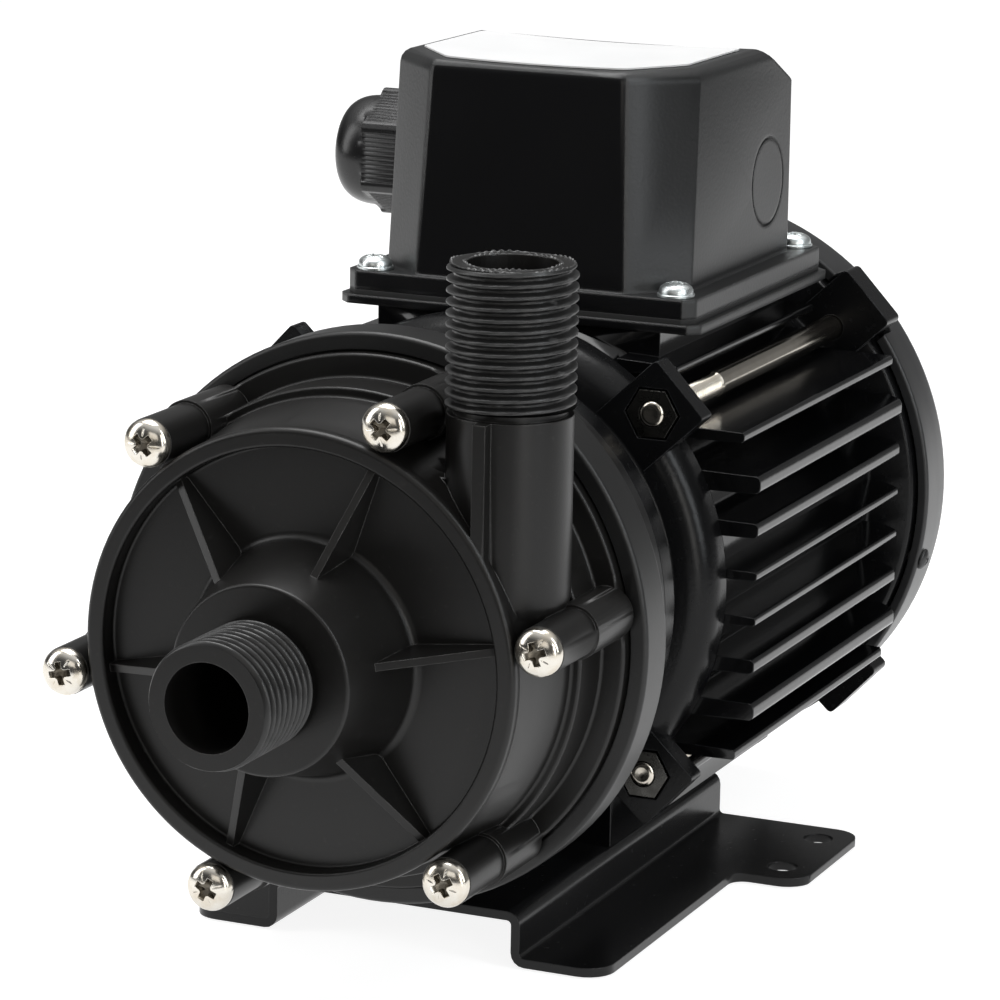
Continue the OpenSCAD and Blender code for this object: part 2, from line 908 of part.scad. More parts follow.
module stator_core() {
    slots = 24;
    y0 = (frame_y + rear_y - stator_l) / 2;
    bore = stator_r * 0.57;
    color("#77797c") placed()
        difference() {
            tube_y(stator_r - run_fit, bore, y0, y0 + stator_l);
            around(slots)
                translate([bore + 1.5, y0 - overlap, -1.6])
                    cube([stator_r * 0.26, stator_l + 2 * overlap, 3.2]);
        }
}

module stator_windings() {
    y0 = (frame_y + rear_y - stator_l) / 2;
    bulge = 8;
    color("#a4552c") placed()
        for (end = [[y0 - bulge, y0], [y0 + stator_l, y0 + stator_l + bulge]])
            turned()
                polygon(rounded([
                    [stator_r * 0.64, end[0], 2],
                    [stator_r * 0.9, end[0], 2],
                    [stator_r * 0.9, end[1], 2],
                    [stator_r * 0.64, end[1], 2]
                ]));
}

module motor_shaft() {
    color("#b9babc") placed()
        turned()
            polygon([
                [0, hub_base_y + 0.5],
                [shaft_r - 0.5, hub_base_y + 0.5],
                [shaft_r, hub_base_y + 1],
                [shaft_r, fan_y + fan_h - 1],
                [shaft_r - 0.5, fan_y + fan_h - 0.5],
                [0, fan_y + fan_h - 0.5]
            ]);
}

module rotor_core() {
    y0 = (frame_y + rear_y - stator_l) / 2;
    r = stator_r * 0.57 - rotor_gap;
    color("#8f9092") placed() {
        tube_y(r, shaft_r + run_fit, y0, y0 + stator_l);
        for (end = [y0 - 4, y0 + stator_l])
            tube_y(r - 1, r - 6, end, end + 4);
    }
}

// Deep groove ball bearing as two rings with shields between them
module ball_bearing(y0) {
    shield_in = shaft_r + 3;
    shield_out = bearing_r - 2.6;
    turned()
        polygon([
            [shaft_r + run_fit, y0],
            [shield_in, y0],
            [shield_in, y0 + 0.6],
            [shield_out, y0 + 0.6],
            [shield_out, y0],
            [bearing_r, y0],
            [bearing_r, y0 + bearing_w],
            [shield_out, y0 + bearing_w],
            [shield_out, y0 + bearing_w - 0.6],
            [shield_in, y0 + bearing_w - 0.6],
            [shield_in, y0 + bearing_w],
            [shaft_r + run_fit, y0 + bearing_w]
        ]);
}

module front_bearing() {
    color("#c3c4c6") placed()
        ball_bearing(front_bearing_y);
}

module rear_bearing() {
    color("#c3c4c6") placed()
        ball_bearing(rear_bearing_y);
}

module wave_washer() {
    y0 = rear_bearing_y + bearing_w;
    color("#aeb0b3") placed()
        tube_y(bearing_r - 0.5, bearing_r - 3, y0, y0 + 0.6);
}

module rear_end_shield() {
    housing_r = bearing_r + housing_t;
    housing_y = rear_bearing_y - 1;
    housing_end = rear_bearing_y + bearing_w + 2;
    web_y = rear_y + 2.5;
    web_end = web_y + 3;
    color("#151516") placed()
        difference() {
            union() {
                turned()
                    polygon(rounded([
                        [shaft_r + 1, housing_y],
                        [housing_r, housing_y],
                        [housing_r, web_y],
                        [stator_r - 2, web_y],
                        [stator_r - 2, rear_y],
                        [frame_r, rear_y],
                        [frame_r, rear_y + 2.4, 1],
                        [rear_rim_r, rear_y + 4.2, 1],
                        [rear_rim_r, rear_y + rear_l, 0.6],
                        [rear_rim_r - rim_depth, rear_y + rear_l, 1],
                        [rear_rim_r - rim_depth, web_end, 1],
                        [housing_r, web_end, 1],
                        [housing_r, housing_end],
                        [shaft_r + 1, housing_end]
                    ]));
                lug_places()
                    rod_lug(rear_lug_y, rear_y + rear_l - 0.4, rear_lug_reach, 1);
                translate([-foot_half_w, rear_y, seat_z])
                    cube([2 * foot_half_w, rear_ring_l - 0.6, -seat_z - frame_r + 4]);
            }
            bar_y(bearing_r + slip_fit / 2, housing_y - overlap, rear_bearing_y + bearing_w + 0.6);
            rod_places()
                bar_y(rod_r + hole_fit, rear_y - overlap, rear_y + rear_l + overlap);
            fan_cover_screw_places()
                cylinder(r = m2[0] + run_fit, h = rim_depth + 2);
        }
}

// Places of the screws that hold the fan cover, along the outward radius
module fan_cover_screw_places() {
    around(4, -13)
        translate([cover_screw_place, cover_y + 2.2, 0])
            rotate([0, 90, 0])
                children();
}

// Tie rods with a hexagon head behind the rear shield
module tie_rods() {
    front = lug_y - 0.6;
    back = rear_y + rear_l;
    color("#b7b3a6") placed()
        rod_places() {
            turned()
                polygon([
                    [0, front],
                    [rod_r - 0.5, front],
                    [rod_r, front + 0.5],
                    [rod_r, back + overlap],
                    [0, back + overlap]
                ]);
            translate([0, back, 0])
                hexagon(nut_af, rod_head_t);
        }
}

module tie_rod_nuts() {
    color("#b9b7ae") placed()
        rod_places()
            translate([0, lug_y + pocket_t - nut_t, 0])
                difference() {
                    hexagon(nut_af, nut_t);
                    bar_y(rod_r + run_fit, -overlap, nut_t + overlap);
                }
}

module cooling_fan() {
    blades = 8;
    blade_t = 1.6;
    hub = shaft_r + 4;
    color("#2a2a2b") placed()
        difference() {
            union() {
                bar_y(hub, fan_y, fan_y + fan_h);
                bar_y(fan_r * 0.72, fan_y, fan_y + 1.6);
                around(blades)
                    translate([hub - 1, fan_y, -blade_t / 2])
                        cube([fan_r - hub + 1, fan_h - 1, blade_t]);
            }
            bar_y(shaft_r + slip_fit / 2, fan_y - overlap, fan_y + fan_h + overlap);
        }
}

// Cup over the fan with air slots in its back and notches for the rear lugs
module fan_cover() {
    inner_r = cover_r - cover_t;
    slots = 20;
    slot_w = 2.6;
    color("#1e1e1f") placed()
        difference() {
            turned()
                polygon(rounded([
                    [inner_r - 0.2, cover_y],
                    [cover_r, cover_y, 0.6],
                    [cover_r - 0.8, cover_end_y, 4],
                    [0, cover_end_y],
                    [0, cover_end_y - cover_t],
                    [inner_r - 0.6, cover_end_y - cover_t, 2.5]
                ]));
            lug_places()
                translate([inner_r - 6, cover_y - overlap, -lug_w / 2 - 0.8])
                    cube([12, notch_d + overlap, lug_w + 1.6]);
            around(slots) {
                translate([14, cover_end_y - cover_t - overlap, -slot_w / 2])
                    cube([10, cover_t + 2 * overlap, slot_w]);
                translate([27, cover_end_y - cover_t - overlap, -slot_w / 2])
                    cube([15, cover_t + 2 * overlap, slot_w]);
            }
            fan_cover_screw_places()
                cylinder(r = m2[0] + hole_fit, h = 14);
        }
}

module fan_cover_screws() {
    seat = cover_r - cover_screw_place;
    color("#1c1c1c") placed()
        fan_cover_screw_places()
            translate([0, 0, seat])
                rotate([-90, 0, 0])
                    pan_screw(m2, 6);
}

// Base

// Outline of the folded sheet's section: platform, two walls and two side flanges
module base_section(half_w) {
    x = platform_half_w;
    top = seat_z;
    low = floor_h;
    t = sheet_t;
    r = bend_r;
    right = [
        [x, top, r],
        [x, low + t, r - t],
        [half_w, low + t, 0.3],
        [half_w, low, 0.3],
        [x - t, low, r],
        [x - t, top - t, r - t]
    ];
    left = [for (i = [5:-1:0]) [-right[i][0], right[i][1], right[i][2]]];
    polygon(rounded(concat(right, left)));
}

// Rounds the plan of the sheet: narrow flanges in front, ears behind
module base_plan() {
    y0 = base_front;
    y1 = base_front + base_l;
    ear_y = y1 - ear_l;
    polygon(rounded([
        [-flange_half_w, y0, 5],
        [flange_half_w, y0, 5],
        [flange_half_w, ear_y, 3],
        [ear_half_w, ear_y, 5],
        [ear_half_w, y1, 5],
        [-ear_half_w, y1, 5],
        [-ear_half_w, ear_y, 5],
        [-flange_half_w, ear_y, 3]
    ], 6));
}

module base_bracket() {
    color("#111112") placed()
        difference() {
            intersection() {
                along_y(base_front, base_front + base_l)
                    base_section(ear_half_w);
                translate([0, 0, floor_h - overlap])
                    linear_extrude(seat_h + 2 * overlap)
                        base_plan();
            }
            for (side = [-1, 1])
                for (end = [-1, 1])
                    translate([side * hole_dx / 2, rim_to_holes + end * hole_dy / 2, floor_h - overlap])
                        cylinder(d = hole_d, h = sheet_t + 2 * overlap);
            foot_screw_places()
                translate([0, 0, -sheet_t - overlap])
                    cylinder(r = m4[0] + hole_fit, h = sheet_t + 2 * overlap);
        }
}

module base_screws() {
    color("#a9aaac") placed()
        foot_screw_places()
            translate([0, 0, -sheet_t])
                rotate([90, 0, 0])
                    pan_screw([m4[0], 3.6, 2.2], sheet_t + 3.6);
}

// Terminal box

// Plan of the box with its corners cut off in front and behind, drawn about the middle of the box
module box_plan(half_w, front, back, front_cut, back_cut) {
    r = 0.6;
    polygon(rounded([
        [-half_w, front + front_cut, r],
        [-half_w + front_cut, front, r],
        [half_w - front_cut, front, r],
        [half_w, front + front_cut, r],
        [half_w, back - back_cut, r],
        [half_w - back_cut, back, r],
        [-half_w + back_cut, back, r],
        [-half_w, back - back_cut, r]
    ]));
}

module terminal_box_base() {
    lip = box_wall + 1;
    color("#131314") placed()
        difference() {
            translate([0, box_y, box_seat_h]) {
                linear_extrude(base_plate_t)
                    box_plan(box_half_w + 1.2, box_front - 0.6, box_back + 0.6, 2, 2);
                difference() {
                    linear_extrude(base_plate_t + gasket_t + 3)
                        box_plan(cover_half_w - lip, cover_front + lip + 5, cover_back - lip, 2, 2);
                    translate([0, 0, base_plate_t])
                        linear_extrude(gasket_t + 4)
                            box_plan(
                                cover_half_w - rim_inset,
                                cover_front + rim_inset + 5,
                                cover_back - rim_inset,
                                2,
                                2
                            );
                }
            }
            translate([0, box_y, 0])
                cylinder(r = 9, h = box_seat_h + 10);
            box_screw_places(cover_screw_x, cover_screw_y)
                cylinder(r = m3[0] + run_fit, h = box_seat_h + 10);
            box_screw_places(base_screw_x, base_screw_y)
                cylinder(r = m3[0] + hole_fit, h = box_seat_h + 10);
        }
}

module box_base_screws() {
    color("#a6a7a9") placed()
        box_screw_places(base_screw_x, base_screw_y)
            translate([0, 0, gasket_h])
                rotate([-90, 0, 0])
                    pan_screw(m3, base_plate_t + 5);
}

module terminal_gasket() {
    color("#3b3b3b") placed()
        difference() {
            translate([0, box_y, gasket_h])
                difference() {
                    linear_extrude(gasket_t)
                        box_plan(box_half_w, box_front, box_back, 2, 2);
                    translate([0, 0, -overlap])
                        linear_extrude(gasket_t + 2 * overlap)
                            box_plan(
                                cover_half_w - box_wall,
                                cover_front + box_wall,
                                cover_back - box_wall,
                                6,
                                2
                            );
                }
            box_screw_places(cover_screw_x, cover_screw_y)
                cylinder(r = m3[0] + hole_fit, h = flange_h + 10);
        }
}

// Half space behind a leaning front wall that is turned by an angle, with a rounded top edge
module lean_wall(turn, foot_d, top_d, foot, top, r) {
    wide = 2 * box_l;
    translate([0, box_y, 0])
        rotate([0, 0, turn])
            along_x(-wide, wide)
                polygon(rounded([
                    [foot_d, foot],
                    [wide, foot],
                    [wide, top],
                    [top_d, top, r]
                ]));
}

// Distance of a wall that touches the rounded edge between front and facet
function edge_wall(turn, front_half, front) =
    let (x = front_half - edge_r * (1 - cos(facet_turn)) / sin(facet_turn))
    cos(turn) * (front + edge_r) - sin(turn) * x - edge_r;

// Slanted corner of the cover's front, with the rounded edge beside it
module facet_walls(front_half, front, foot, top, r) {
    intersection_for(k = [1:4]) {
        turn = facet_turn * k / 4;
        foot_d = edge_wall(turn, front_half, front);
        top_d = edge_wall(turn, front_half - facet_lean, front + front_lean);
        lean_wall(turn, foot_d, top_d, foot, top, r);
    }
}

// Solid of the cover's body, drafted, with a sloped rear top, taken in by a wall thickness
module cover_body(inset, foot, top) {
    half = cover_half_w - inset;
    front_half = front_half_w - inset * tan(facet_turn / 2);
    front = cover_front + inset;
    top_front = front + front_lean;
    back = cover_back - inset;
    r = 2.6;
    intersection() {
        along_y(box_y + front, box_y + back)
            polygon(rounded([
                [-half, foot],
                [half, foot],
                [half - box_draft, top, r],
                [-half + box_draft, top, r]
            ]));
        translate([0, box_y, 0])
            along_x(-half - overlap, half + overlap)
                polygon(rounded([
                    [front, foot],
                    [back, foot],
                    [back, top - top_slope_h, 3],
                    [back - top_slope_l, top, 6],
                    [top_front, top, r]
                ]));
        translate([0, box_y, foot - overlap])
            linear_extrude(top - foot + 2 * overlap)
                polygon(rounded([
                    [-half - overlap, front - overlap],
                    [half + overlap, front - overlap],
                    [half, back, 2.2],
                    [-half, back, 2.2]
                ]));
        facet_walls(front_half, front, foot, top, r);
        mirror([1, 0, 0])
            facet_walls(front_half, front, foot, top, r);
    }
}

// Wide cylinder that dishes the cover's top, its lowest line so much below the top
module top_dish(r) {
    bar_y(r, box_y - box_l, box_y + box_l, 0, cover_top_h - top_dip + dip_r, $fn = 720);
}

module terminal_cover() {
    ko_r = 8.2;
    color("#121213") placed()
        difference() {
            union() {
                translate([0, box_y, flange_h])
                    linear_extrude(box_flange_t)
                        box_plan(box_half_w, box_front, box_back, 2, 2);
                cover_body(0, flange_h, cover_top_h);
            }
            top_dish(dip_r);
            cover_body(box_wall, flange_h - overlap, cover_top_h - box_wall - top_dip);
            box_screw_places(cover_screw_x, cover_screw_y)
                cylinder(r = m3[0] + hole_fit, h = cover_foot_h + overlap);
            translate([0, box_y + gland_y, gland_h])
                rotate([0, -90, 0])
                    cylinder(r = gland_r + slip_fit, h = box_half_w + overlap);
            translate([wall_x, box_y + gland_y, gland_h])
                rotate([0, 90 - atan(draft_slope), 0])
                    translate([0, 0, -0.45])
                        difference() {
                            cylinder(r = ko_r, h = 5);
                            translate([0, 0, -overlap])
                                cylinder(r = ko_r - 0.5, h = 6);
                        }
        }
}

module cover_screws() {
    washer_t = 0.6;
    color("#c4ccd2") placed()
        box_screw_places(cover_screw_x, cover_screw_y)
            translate([0, 0, cover_foot_h + washer_t])
                rotate([-90, 0, 0]) {
                    pan_screw(m3, washer_t + box_flange_t + gasket_t + base_plate_t - 0.2);
                    tube_y(3.3, m3[0] + run_fit, 0, washer_t);
                }
}

module terminal_block() {
    ways = 4;
    pitch = 7;
    depth = 12;
    height = 13;
    color("#d8d4c6") placed()
        translate([-ways * pitch / 2, box_y - depth - 6.5, gasket_h])
            difference() {
                cube([ways * pitch, depth, height]);
                for (i = [0:ways - 1])
                    translate([(i + 0.5) * pitch, 0, 0]) {
                        translate([0, depth / 2, 4])
                            cylinder(r = 2, h = height);
                        bar_y(1.6, -overlap, depth + overlap, 0, height / 2);
                    }
            }
}

module run_capacitor() {
    cap_r = 8;
    cap_l = 30;
    color("#cfcfcb") placed()
        translate([-cap_l / 2, box_y + base_screw_y - 6, gasket_h + cap_r + slip_fit])
            rotate([0, 90, 0])
                rotate_extrude()
                    polygon(rounded([
                        [0, 0],
                        [cap_r, 0, 1.2],
                        [cap_r, cap_l, 1.2],
                        [0, cap_l]
                    ]));
}

// Turns a shape drawn along +Z to point out of the box's left side at the gland
module gland_out() {
    translate([-wall_x, box_y + gland_y, gland_h])
        rotate([0, -90, 0])
            children();
}

module gland_body() {
    color("#151516") placed()
        gland_out()
            difference() {
                union() {
                    translate([0, 0, -box_wall - 7])
                        cylinder(r = gland_r, h = box_wall + 7 + 1);
                    translate([0, 0, 0.7])
                        cylinder(d = gland_af / cos(30), h = 5.3, $fn = 6);
                    cylinder(r = gland_r - 0.6, h = 14);
                }
                translate([0, 0, -box_wall - 8])
                    cylinder(r = gland_bore_r, h = 40);
                translate([0, 0, 8])
                    cylinder(r = gland_bore_r + 1.6, h = 20);
            }
}

module gland_locknut() {
    nut_h = 4;
    color("#18181a") placed()
        gland_out()
            translate([0, 0, -box_wall - 0.7 - nut_h])
                difference() {
                    cylinder(d = locknut_af / cos(30), h = nut_h, $fn = 6);
                    translate([0, 0, -overlap])
                        cylinder(r = gland_r + run_fit, h = nut_h + 2 * overlap);
                }
}

module gland_seal() {
    color("#262626") placed()
        gland_out()
            translate([0, 0, 8])
                difference() {
                    cylinder(r = gland_bore_r + 1.6 - slip_fit, h = 10);
                    translate([0, 0, -overlap])
                        cylinder(r = gland_bore_r - 1.2, h = 12);
                }
}

module gland_nut() {
    foot = 6.3;
    grip_l = 13;
    tip = 25.5;
    color("#171718") placed()
        gland_out()
            difference() {
                union() {
                    rotate_extrude()
                        polygon(rounded([
                            [0, foot],
                            [nut_dome_r, foot, 0.5],
                            [nut_dome_r, foot + grip_l + 1.5, 3],
                            [nut_dome_r - 3.2, tip, 3],
                            [0, tip]
                        ], 6));
                    translate([0, 0, foot])
                        cylinder(d = gland_af / cos(30), h = grip_l, $fn = 6);
                }
                translate([0, 0, -overlap])
                    cylinder(r = gland_bore_r, h = 40);
                translate([0, 0, -overlap])
                    cylinder(r = gland_r - 0.6 + slip_fit, h = 18.7);
            }
}

// Bare plate on the dished top of the cover
module nameplate() {
    inset = 3.4;
    plate = 0.3;
    front = cover_front + front_lean + inset;
    back = cover_back - top_slope_l - 2;
    half = cover_half_w - box_draft - inset;
    front_half = front_half_w - facet_lean - inset * tan(facet_turn / 2);
    color("#f2f2ee") placed()
        intersection() {
            translate([0, box_y, cover_top_h - 2 * top_dip])
                linear_extrude(4 * top_dip)
                    polygon(rounded([
                        [-half, front + facet_l, 1.4],
                        [-front_half, front, 2.2],
                        [front_half, front, 2.2],
                        [half, front + facet_l, 1.4],
                        [half, back, 2.2],
                        [-half, back, 2.2]
                    ]));
            difference() {
                top_dish(dip_r - slip_fit);
                top_dish(dip_r - slip_fit - plate);
            }
        }
}

front_casing();
casing_screws();
casing_o_ring();
rear_casing();
spindle();
thrust_ring();
impeller();
impeller_bush();
impeller_magnet();
drive_hub();
drive_magnets();
hub_grub_screw();
pump_bracket();
bracket_screws();
front_end_shield();
motor_frame();
stator_core();
stator_windings();
motor_shaft();
rotor_core();
front_bearing();
rear_bearing();
wave_washer();
rear_end_shield();
tie_rods();
tie_rod_nuts();
cooling_fan();
fan_cover();
fan_cover_screws();
base_bracket();
base_screws();
terminal_box_base();
box_base_screws();
terminal_gasket();
terminal_cover();
cover_screws();
terminal_block();
run_capacitor();
gland_body();
gland_locknut();
gland_seal();
gland_nut();
nameplate();
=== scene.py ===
import math

import bmesh
import bpy
import numpy as np
from mathutils import Matrix, Vector


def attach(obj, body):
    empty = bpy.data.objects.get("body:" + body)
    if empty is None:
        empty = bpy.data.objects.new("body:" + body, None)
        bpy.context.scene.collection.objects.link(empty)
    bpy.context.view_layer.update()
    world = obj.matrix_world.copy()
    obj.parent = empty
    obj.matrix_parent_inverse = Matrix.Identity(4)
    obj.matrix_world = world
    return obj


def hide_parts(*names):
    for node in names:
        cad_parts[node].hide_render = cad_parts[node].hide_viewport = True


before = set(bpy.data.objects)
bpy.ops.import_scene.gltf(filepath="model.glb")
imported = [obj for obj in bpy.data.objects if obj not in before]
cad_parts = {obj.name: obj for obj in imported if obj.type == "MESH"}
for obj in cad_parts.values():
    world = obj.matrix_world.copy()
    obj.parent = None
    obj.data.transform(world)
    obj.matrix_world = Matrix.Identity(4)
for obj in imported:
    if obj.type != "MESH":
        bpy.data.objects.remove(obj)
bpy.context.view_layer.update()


# Pump casing: one moulding of glass-filled polypropylene with six ribs on its disc, a threaded inlet
# on the axis and a threaded outlet that leaves the drum upwards. The mould is finely spark-eroded, so
# the skin is matte, and the threads are moulded with it.
RIM_CENTRE = np.array([0.0, -117.0, 59.5])


class Wire:
    """One socket in a finish's nodes. Sums and products of wires add Math nodes; add() makes any other node."""

    def __init__(self, tree, socket=None):
        self.tree = tree
        self.socket = socket

    def add(self, kind, settings=None, inputs=None, out=0):
        """Makes a node of that type, sets its settings, then its sockets' values or links, and gives one output."""
        node = self.tree.nodes.new(kind)
        for name, value in (settings or {}).items():
            setattr(node, name, value)
        for key, value in (inputs or {}).items():
            if isinstance(value, Wire):
                self.tree.links.new(value.socket, node.inputs[key])
            else:
                node.inputs[key].default_value = value
        return Wire(self.tree, node.outputs[out])

    def math(self, operation, first, second=0.0):
        return self.add("ShaderNodeMath", {"operation": operation}, {0: first, 1: second})

    def __add__(self, other):
        return self.math("ADD", self, other)

    def __rsub__(self, other):
        return self.math("SUBTRACT", other, self)

    def __mul__(self, other):
        return self.math("MULTIPLY", self, other)

    __radd__ = __add__
    __rmul__ = __mul__

    def between(self, low, high):
        """0 below low and 1 above high, eased between them."""
        settings = {"interpolation_type": "SMOOTHSTEP"}
        return self.add("ShaderNodeMapRange", settings, {0: self, 1: low, 2: high})

    def noise(self, size_mm, detail=2.0, stretch=(1.0, 1.0, 1.0)):
        """Noise from 0 to 1 on the object's coordinates, its lumps about size_mm across, drawn out by stretch."""
        at = self.add("ShaderNodeTexCoord", out="Object")
        scaled = self.add("ShaderNodeMapping", None, {"Vector": at, "Scale": tuple(1 / s for s in stretch)})
        inputs = {"Vector": scaled, "Scale": 1000.0 / size_mm, "Detail": detail}
        return self.add("ShaderNodeTexNoise", None, inputs)

    def mix(self, share, first, second):
        """Colour that goes from first to second with share."""
        inputs = {0: share, 6: first, 7: second}
        return self.add("ShaderNodeMix", {"data_type": "RGBA"}, inputs, out=2)

    def rounded(self, radius_mm):
        """Normal of the surface with its edges rounded to a radius."""
        return self.add("ShaderNodeBevel", {"samples": 4}, {"Radius": radius_mm / 1000.0})

    def edges(self, rounded):
        """1 along sharp edges and 0 on open faces: how far the rounded normal leans from the plain one."""
        plain = self.add("ShaderNodeNewGeometry", out="Normal")
        lean = self.add("ShaderNodeVectorMath", {"operation": "DOT_PRODUCT"}, {0: rounded, 1: plain}, out="Value")
        return (1.0 - lean).between(0.01, 0.16)


def new_finish(name):
    """A fresh material: (material, its Principled shader's sockets, a wire to build its nodes from)."""
    made = bpy.data.materials.new(name)
    made.use_nodes = True
    shader = made.node_tree.nodes["Principled BSDF"]
    return made, shader.inputs, Wire(made.node_tree)


def feed(sockets, name, wire):
    """Links a wire to one socket of the shader."""
    wire.tree.links.new(wire.socket, sockets[name])


def rgb(r, g, b):
    return (r, g, b, 1.0)


def coated(
    name, colour, worn_and_highlight, rough, grain_mm, depth_mm, edge_mm=0.25, edge_share=0.5, cloud=0.25, specular=0.5, crests=0.0
):
    """Moulded or painted skin: its colour drifts in soft clouds with faint dust, its edges are paler, partly rubbed and
    partly a painted highlight, and so are the crests of a thread by a share; its roughness follows the clouds, and its
    grain is a bump of fine noise over rounded edges."""
    made, sockets, wire = new_finish(name)
    clouds = wire.noise(22.0, 3.0)
    dust = wire.noise(1.1, 4.0).between(0.6, 0.85)
    rounded = wire.rounded(edge_mm)
    # edges paler: partly wear, partly a painted highlight along them
    edge = wire.edges(rounded) * (wire.noise(3.0, 3.0).between(0.25, 0.7) * edge_share)
    deep = tuple(c * (1 - cloud) for c in colour[:3]) + (1.0,)
    skin = wire.mix(clouds, deep, colour)
    skin = wire.mix(dust * 0.12, skin, worn_and_highlight)
    skin = wire.mix(edge, skin, worn_and_highlight)
    # thread crests paler: partly wear, partly a painted highlight
    if crests:
        crest = wire.add("ShaderNodeNewGeometry", out="Pointiness").between(0.5, 0.6)
        skin = wire.mix(crest * (wire.noise(2.0, 3.0) * crests), skin, worn_and_highlight)
    feed(sockets, "Base Color", skin)
    feed(sockets, "Roughness", clouds * (rough * 0.3) + dust * 0.06 + rough * 0.85)
    grain = wire.noise(grain_mm, 2.0) + wire.noise(grain_mm * 5.0, 2.0) * 0.5
    bump = wire.add(
        "ShaderNodeBump", None,
        {"Strength": 1.0, "Distance": depth_mm / 1000.0, "Height": grain, "Normal": rounded},
    )
    feed(sockets, "Normal", bump)
    sockets["Specular IOR Level"].default_value = specular
    return made


def show(mesh, name, body, slot, finish, *solids):
    """Puts a mesh into the scene as a piece that rides on a body and stands for the solids that it names."""
    piece = bpy.data.objects.new(name, mesh)
    bpy.context.scene.collection.objects.link(piece)
    mesh.materials.clear()
    mesh.materials.append(finish)
    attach(piece, body)
    if solids:
        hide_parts(*solids)
    return piece


def smoothed(mesh, sharp_deg):
    """Smooth shading that breaks at edges sharper than an angle."""
    mesh.shade_smooth()
    mesh.set_sharp_from_angle(angle=math.radians(sharp_deg))
    return mesh


def even_rings(mesh, normals):
    """Normals evened round the pump's axis: corners at one radius and station whose normals lean alike get the mean
    of their leans, the angle of the normal in the plane of axis and radius; normals that turn sideways stay."""
    sideways, innermost_mm, cell_mm, alike_deg, cut_deg = 0.1, 5, 0.02, 9, 135
    corner = np.zeros(len(mesh.loops), np.int32)
    mesh.loops.foreach_get("vertex_index", corner)
    points = np.zeros(len(mesh.vertices) * 3)
    mesh.vertices.foreach_get("co", points)
    at = (points.reshape(-1, 3) * 1000 - RIM_CENTRE)[corner]
    radius, angle = np.hypot(at[:, 0], at[:, 2]), np.arctan2(at[:, 2], at[:, 0])
    out = np.stack([np.cos(angle), 0 * angle, np.sin(angle)], axis=1)
    side = np.stack([-np.sin(angle), 0 * angle, np.cos(angle)], axis=1)
    turned_face = (np.abs((normals * side).sum(1)) < sideways) & (radius > innermost_mm)
    lean = np.degrees(np.arctan2(normals[:, 1], (normals * out).sum(1)))
    lean = (lean + cut_deg) % 360
    ring = np.round(radius / cell_mm) * 1e6 + np.round(at[:, 1] / cell_mm)
    order = np.lexsort((lean, ring, turned_face))
    fresh = (np.diff(ring[order]) != 0) | (np.diff(lean[order]) > alike_deg) | (np.diff(turned_face[order]) != 0)
    group = np.concatenate([[0], np.cumsum(fresh)])
    mean = np.bincount(group, lean[order]) / np.bincount(group)
    even = np.empty_like(lean)
    even[order] = mean[group]
    even = np.radians(even - cut_deg)[:, None]
    along = np.array([0.0, 1.0, 0.0])
    return np.where(turned_face[:, None], np.cos(even) * out + np.sin(even) * along, normals)


SAME_POINT, FLAT_DEG, FLAT_WEIGHT = 2e-6, 0.2, 90


def skin_of(node, finish, slot, body="housing", sharp_deg=30.0, leave_out=None, name=None, round_axis=False, soft=None):
    """A solid's own shape with its triangles joined, so that round faces shade smoothly and flat ones stay flat;
    leave_out picks, from the middles of its faces in mm about the front rim's centre, those that another piece
    makes; round_axis evens the shading of what is turned about the pump's axis; soft is (radius in mm, a picker of
    edges by their two ends) and rounds those edges."""
    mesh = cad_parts[node].data.copy()
    joined = bmesh.new()
    joined.from_mesh(mesh)
    bmesh.ops.remove_doubles(joined, verts=joined.verts, dist=SAME_POINT)
    if leave_out:
        middles = np.array([f.calc_center_median() for f in joined.faces]) * 1000 - RIM_CENTRE
        dropped = [f for f, out in zip(joined.faces, leave_out(middles)) if out]
        bmesh.ops.delete(joined, geom=dropped, context="FACES")
    bmesh.ops.dissolve_limit(joined, angle_limit=math.radians(FLAT_DEG), verts=joined.verts, edges=joined.edges)
    if soft:
        ends = np.array([[v.co for v in e.verts] for e in joined.edges]) * 1000 - RIM_CENTRE
        picked = [e for e, wanted in zip(joined.edges, soft[1](ends[:, 0], ends[:, 1])) if wanted]
        bmesh.ops.bevel(
            joined, geom=picked, offset=soft[0] / 1000, offset_type="OFFSET", segments=4, profile=0.5,
            affect="EDGES", clamp_overlap=True,
        )
    joined.to_mesh(mesh)
    joined.free()
    piece = show(smoothed(mesh, sharp_deg), name or node + "_skin", body, slot, finish, node)
    weighted = piece.modifiers.new("flat_faces", "WEIGHTED_NORMAL")
    weighted.keep_sharp = True
    weighted.weight = FLAT_WEIGHT
    if round_axis:
        settled = piece.evaluated_get(bpy.context.evaluated_depsgraph_get()).data
        normals = np.zeros(len(settled.loops) * 3, np.float32)
        settled.corner_normals.foreach_get("vector", normals)
        normals = even_rings(mesh, normals.reshape(-1, 3).astype(float))
        piece.modifiers.remove(weighted)
        mesh.normals_split_custom_set(normals.tolist())
    return piece


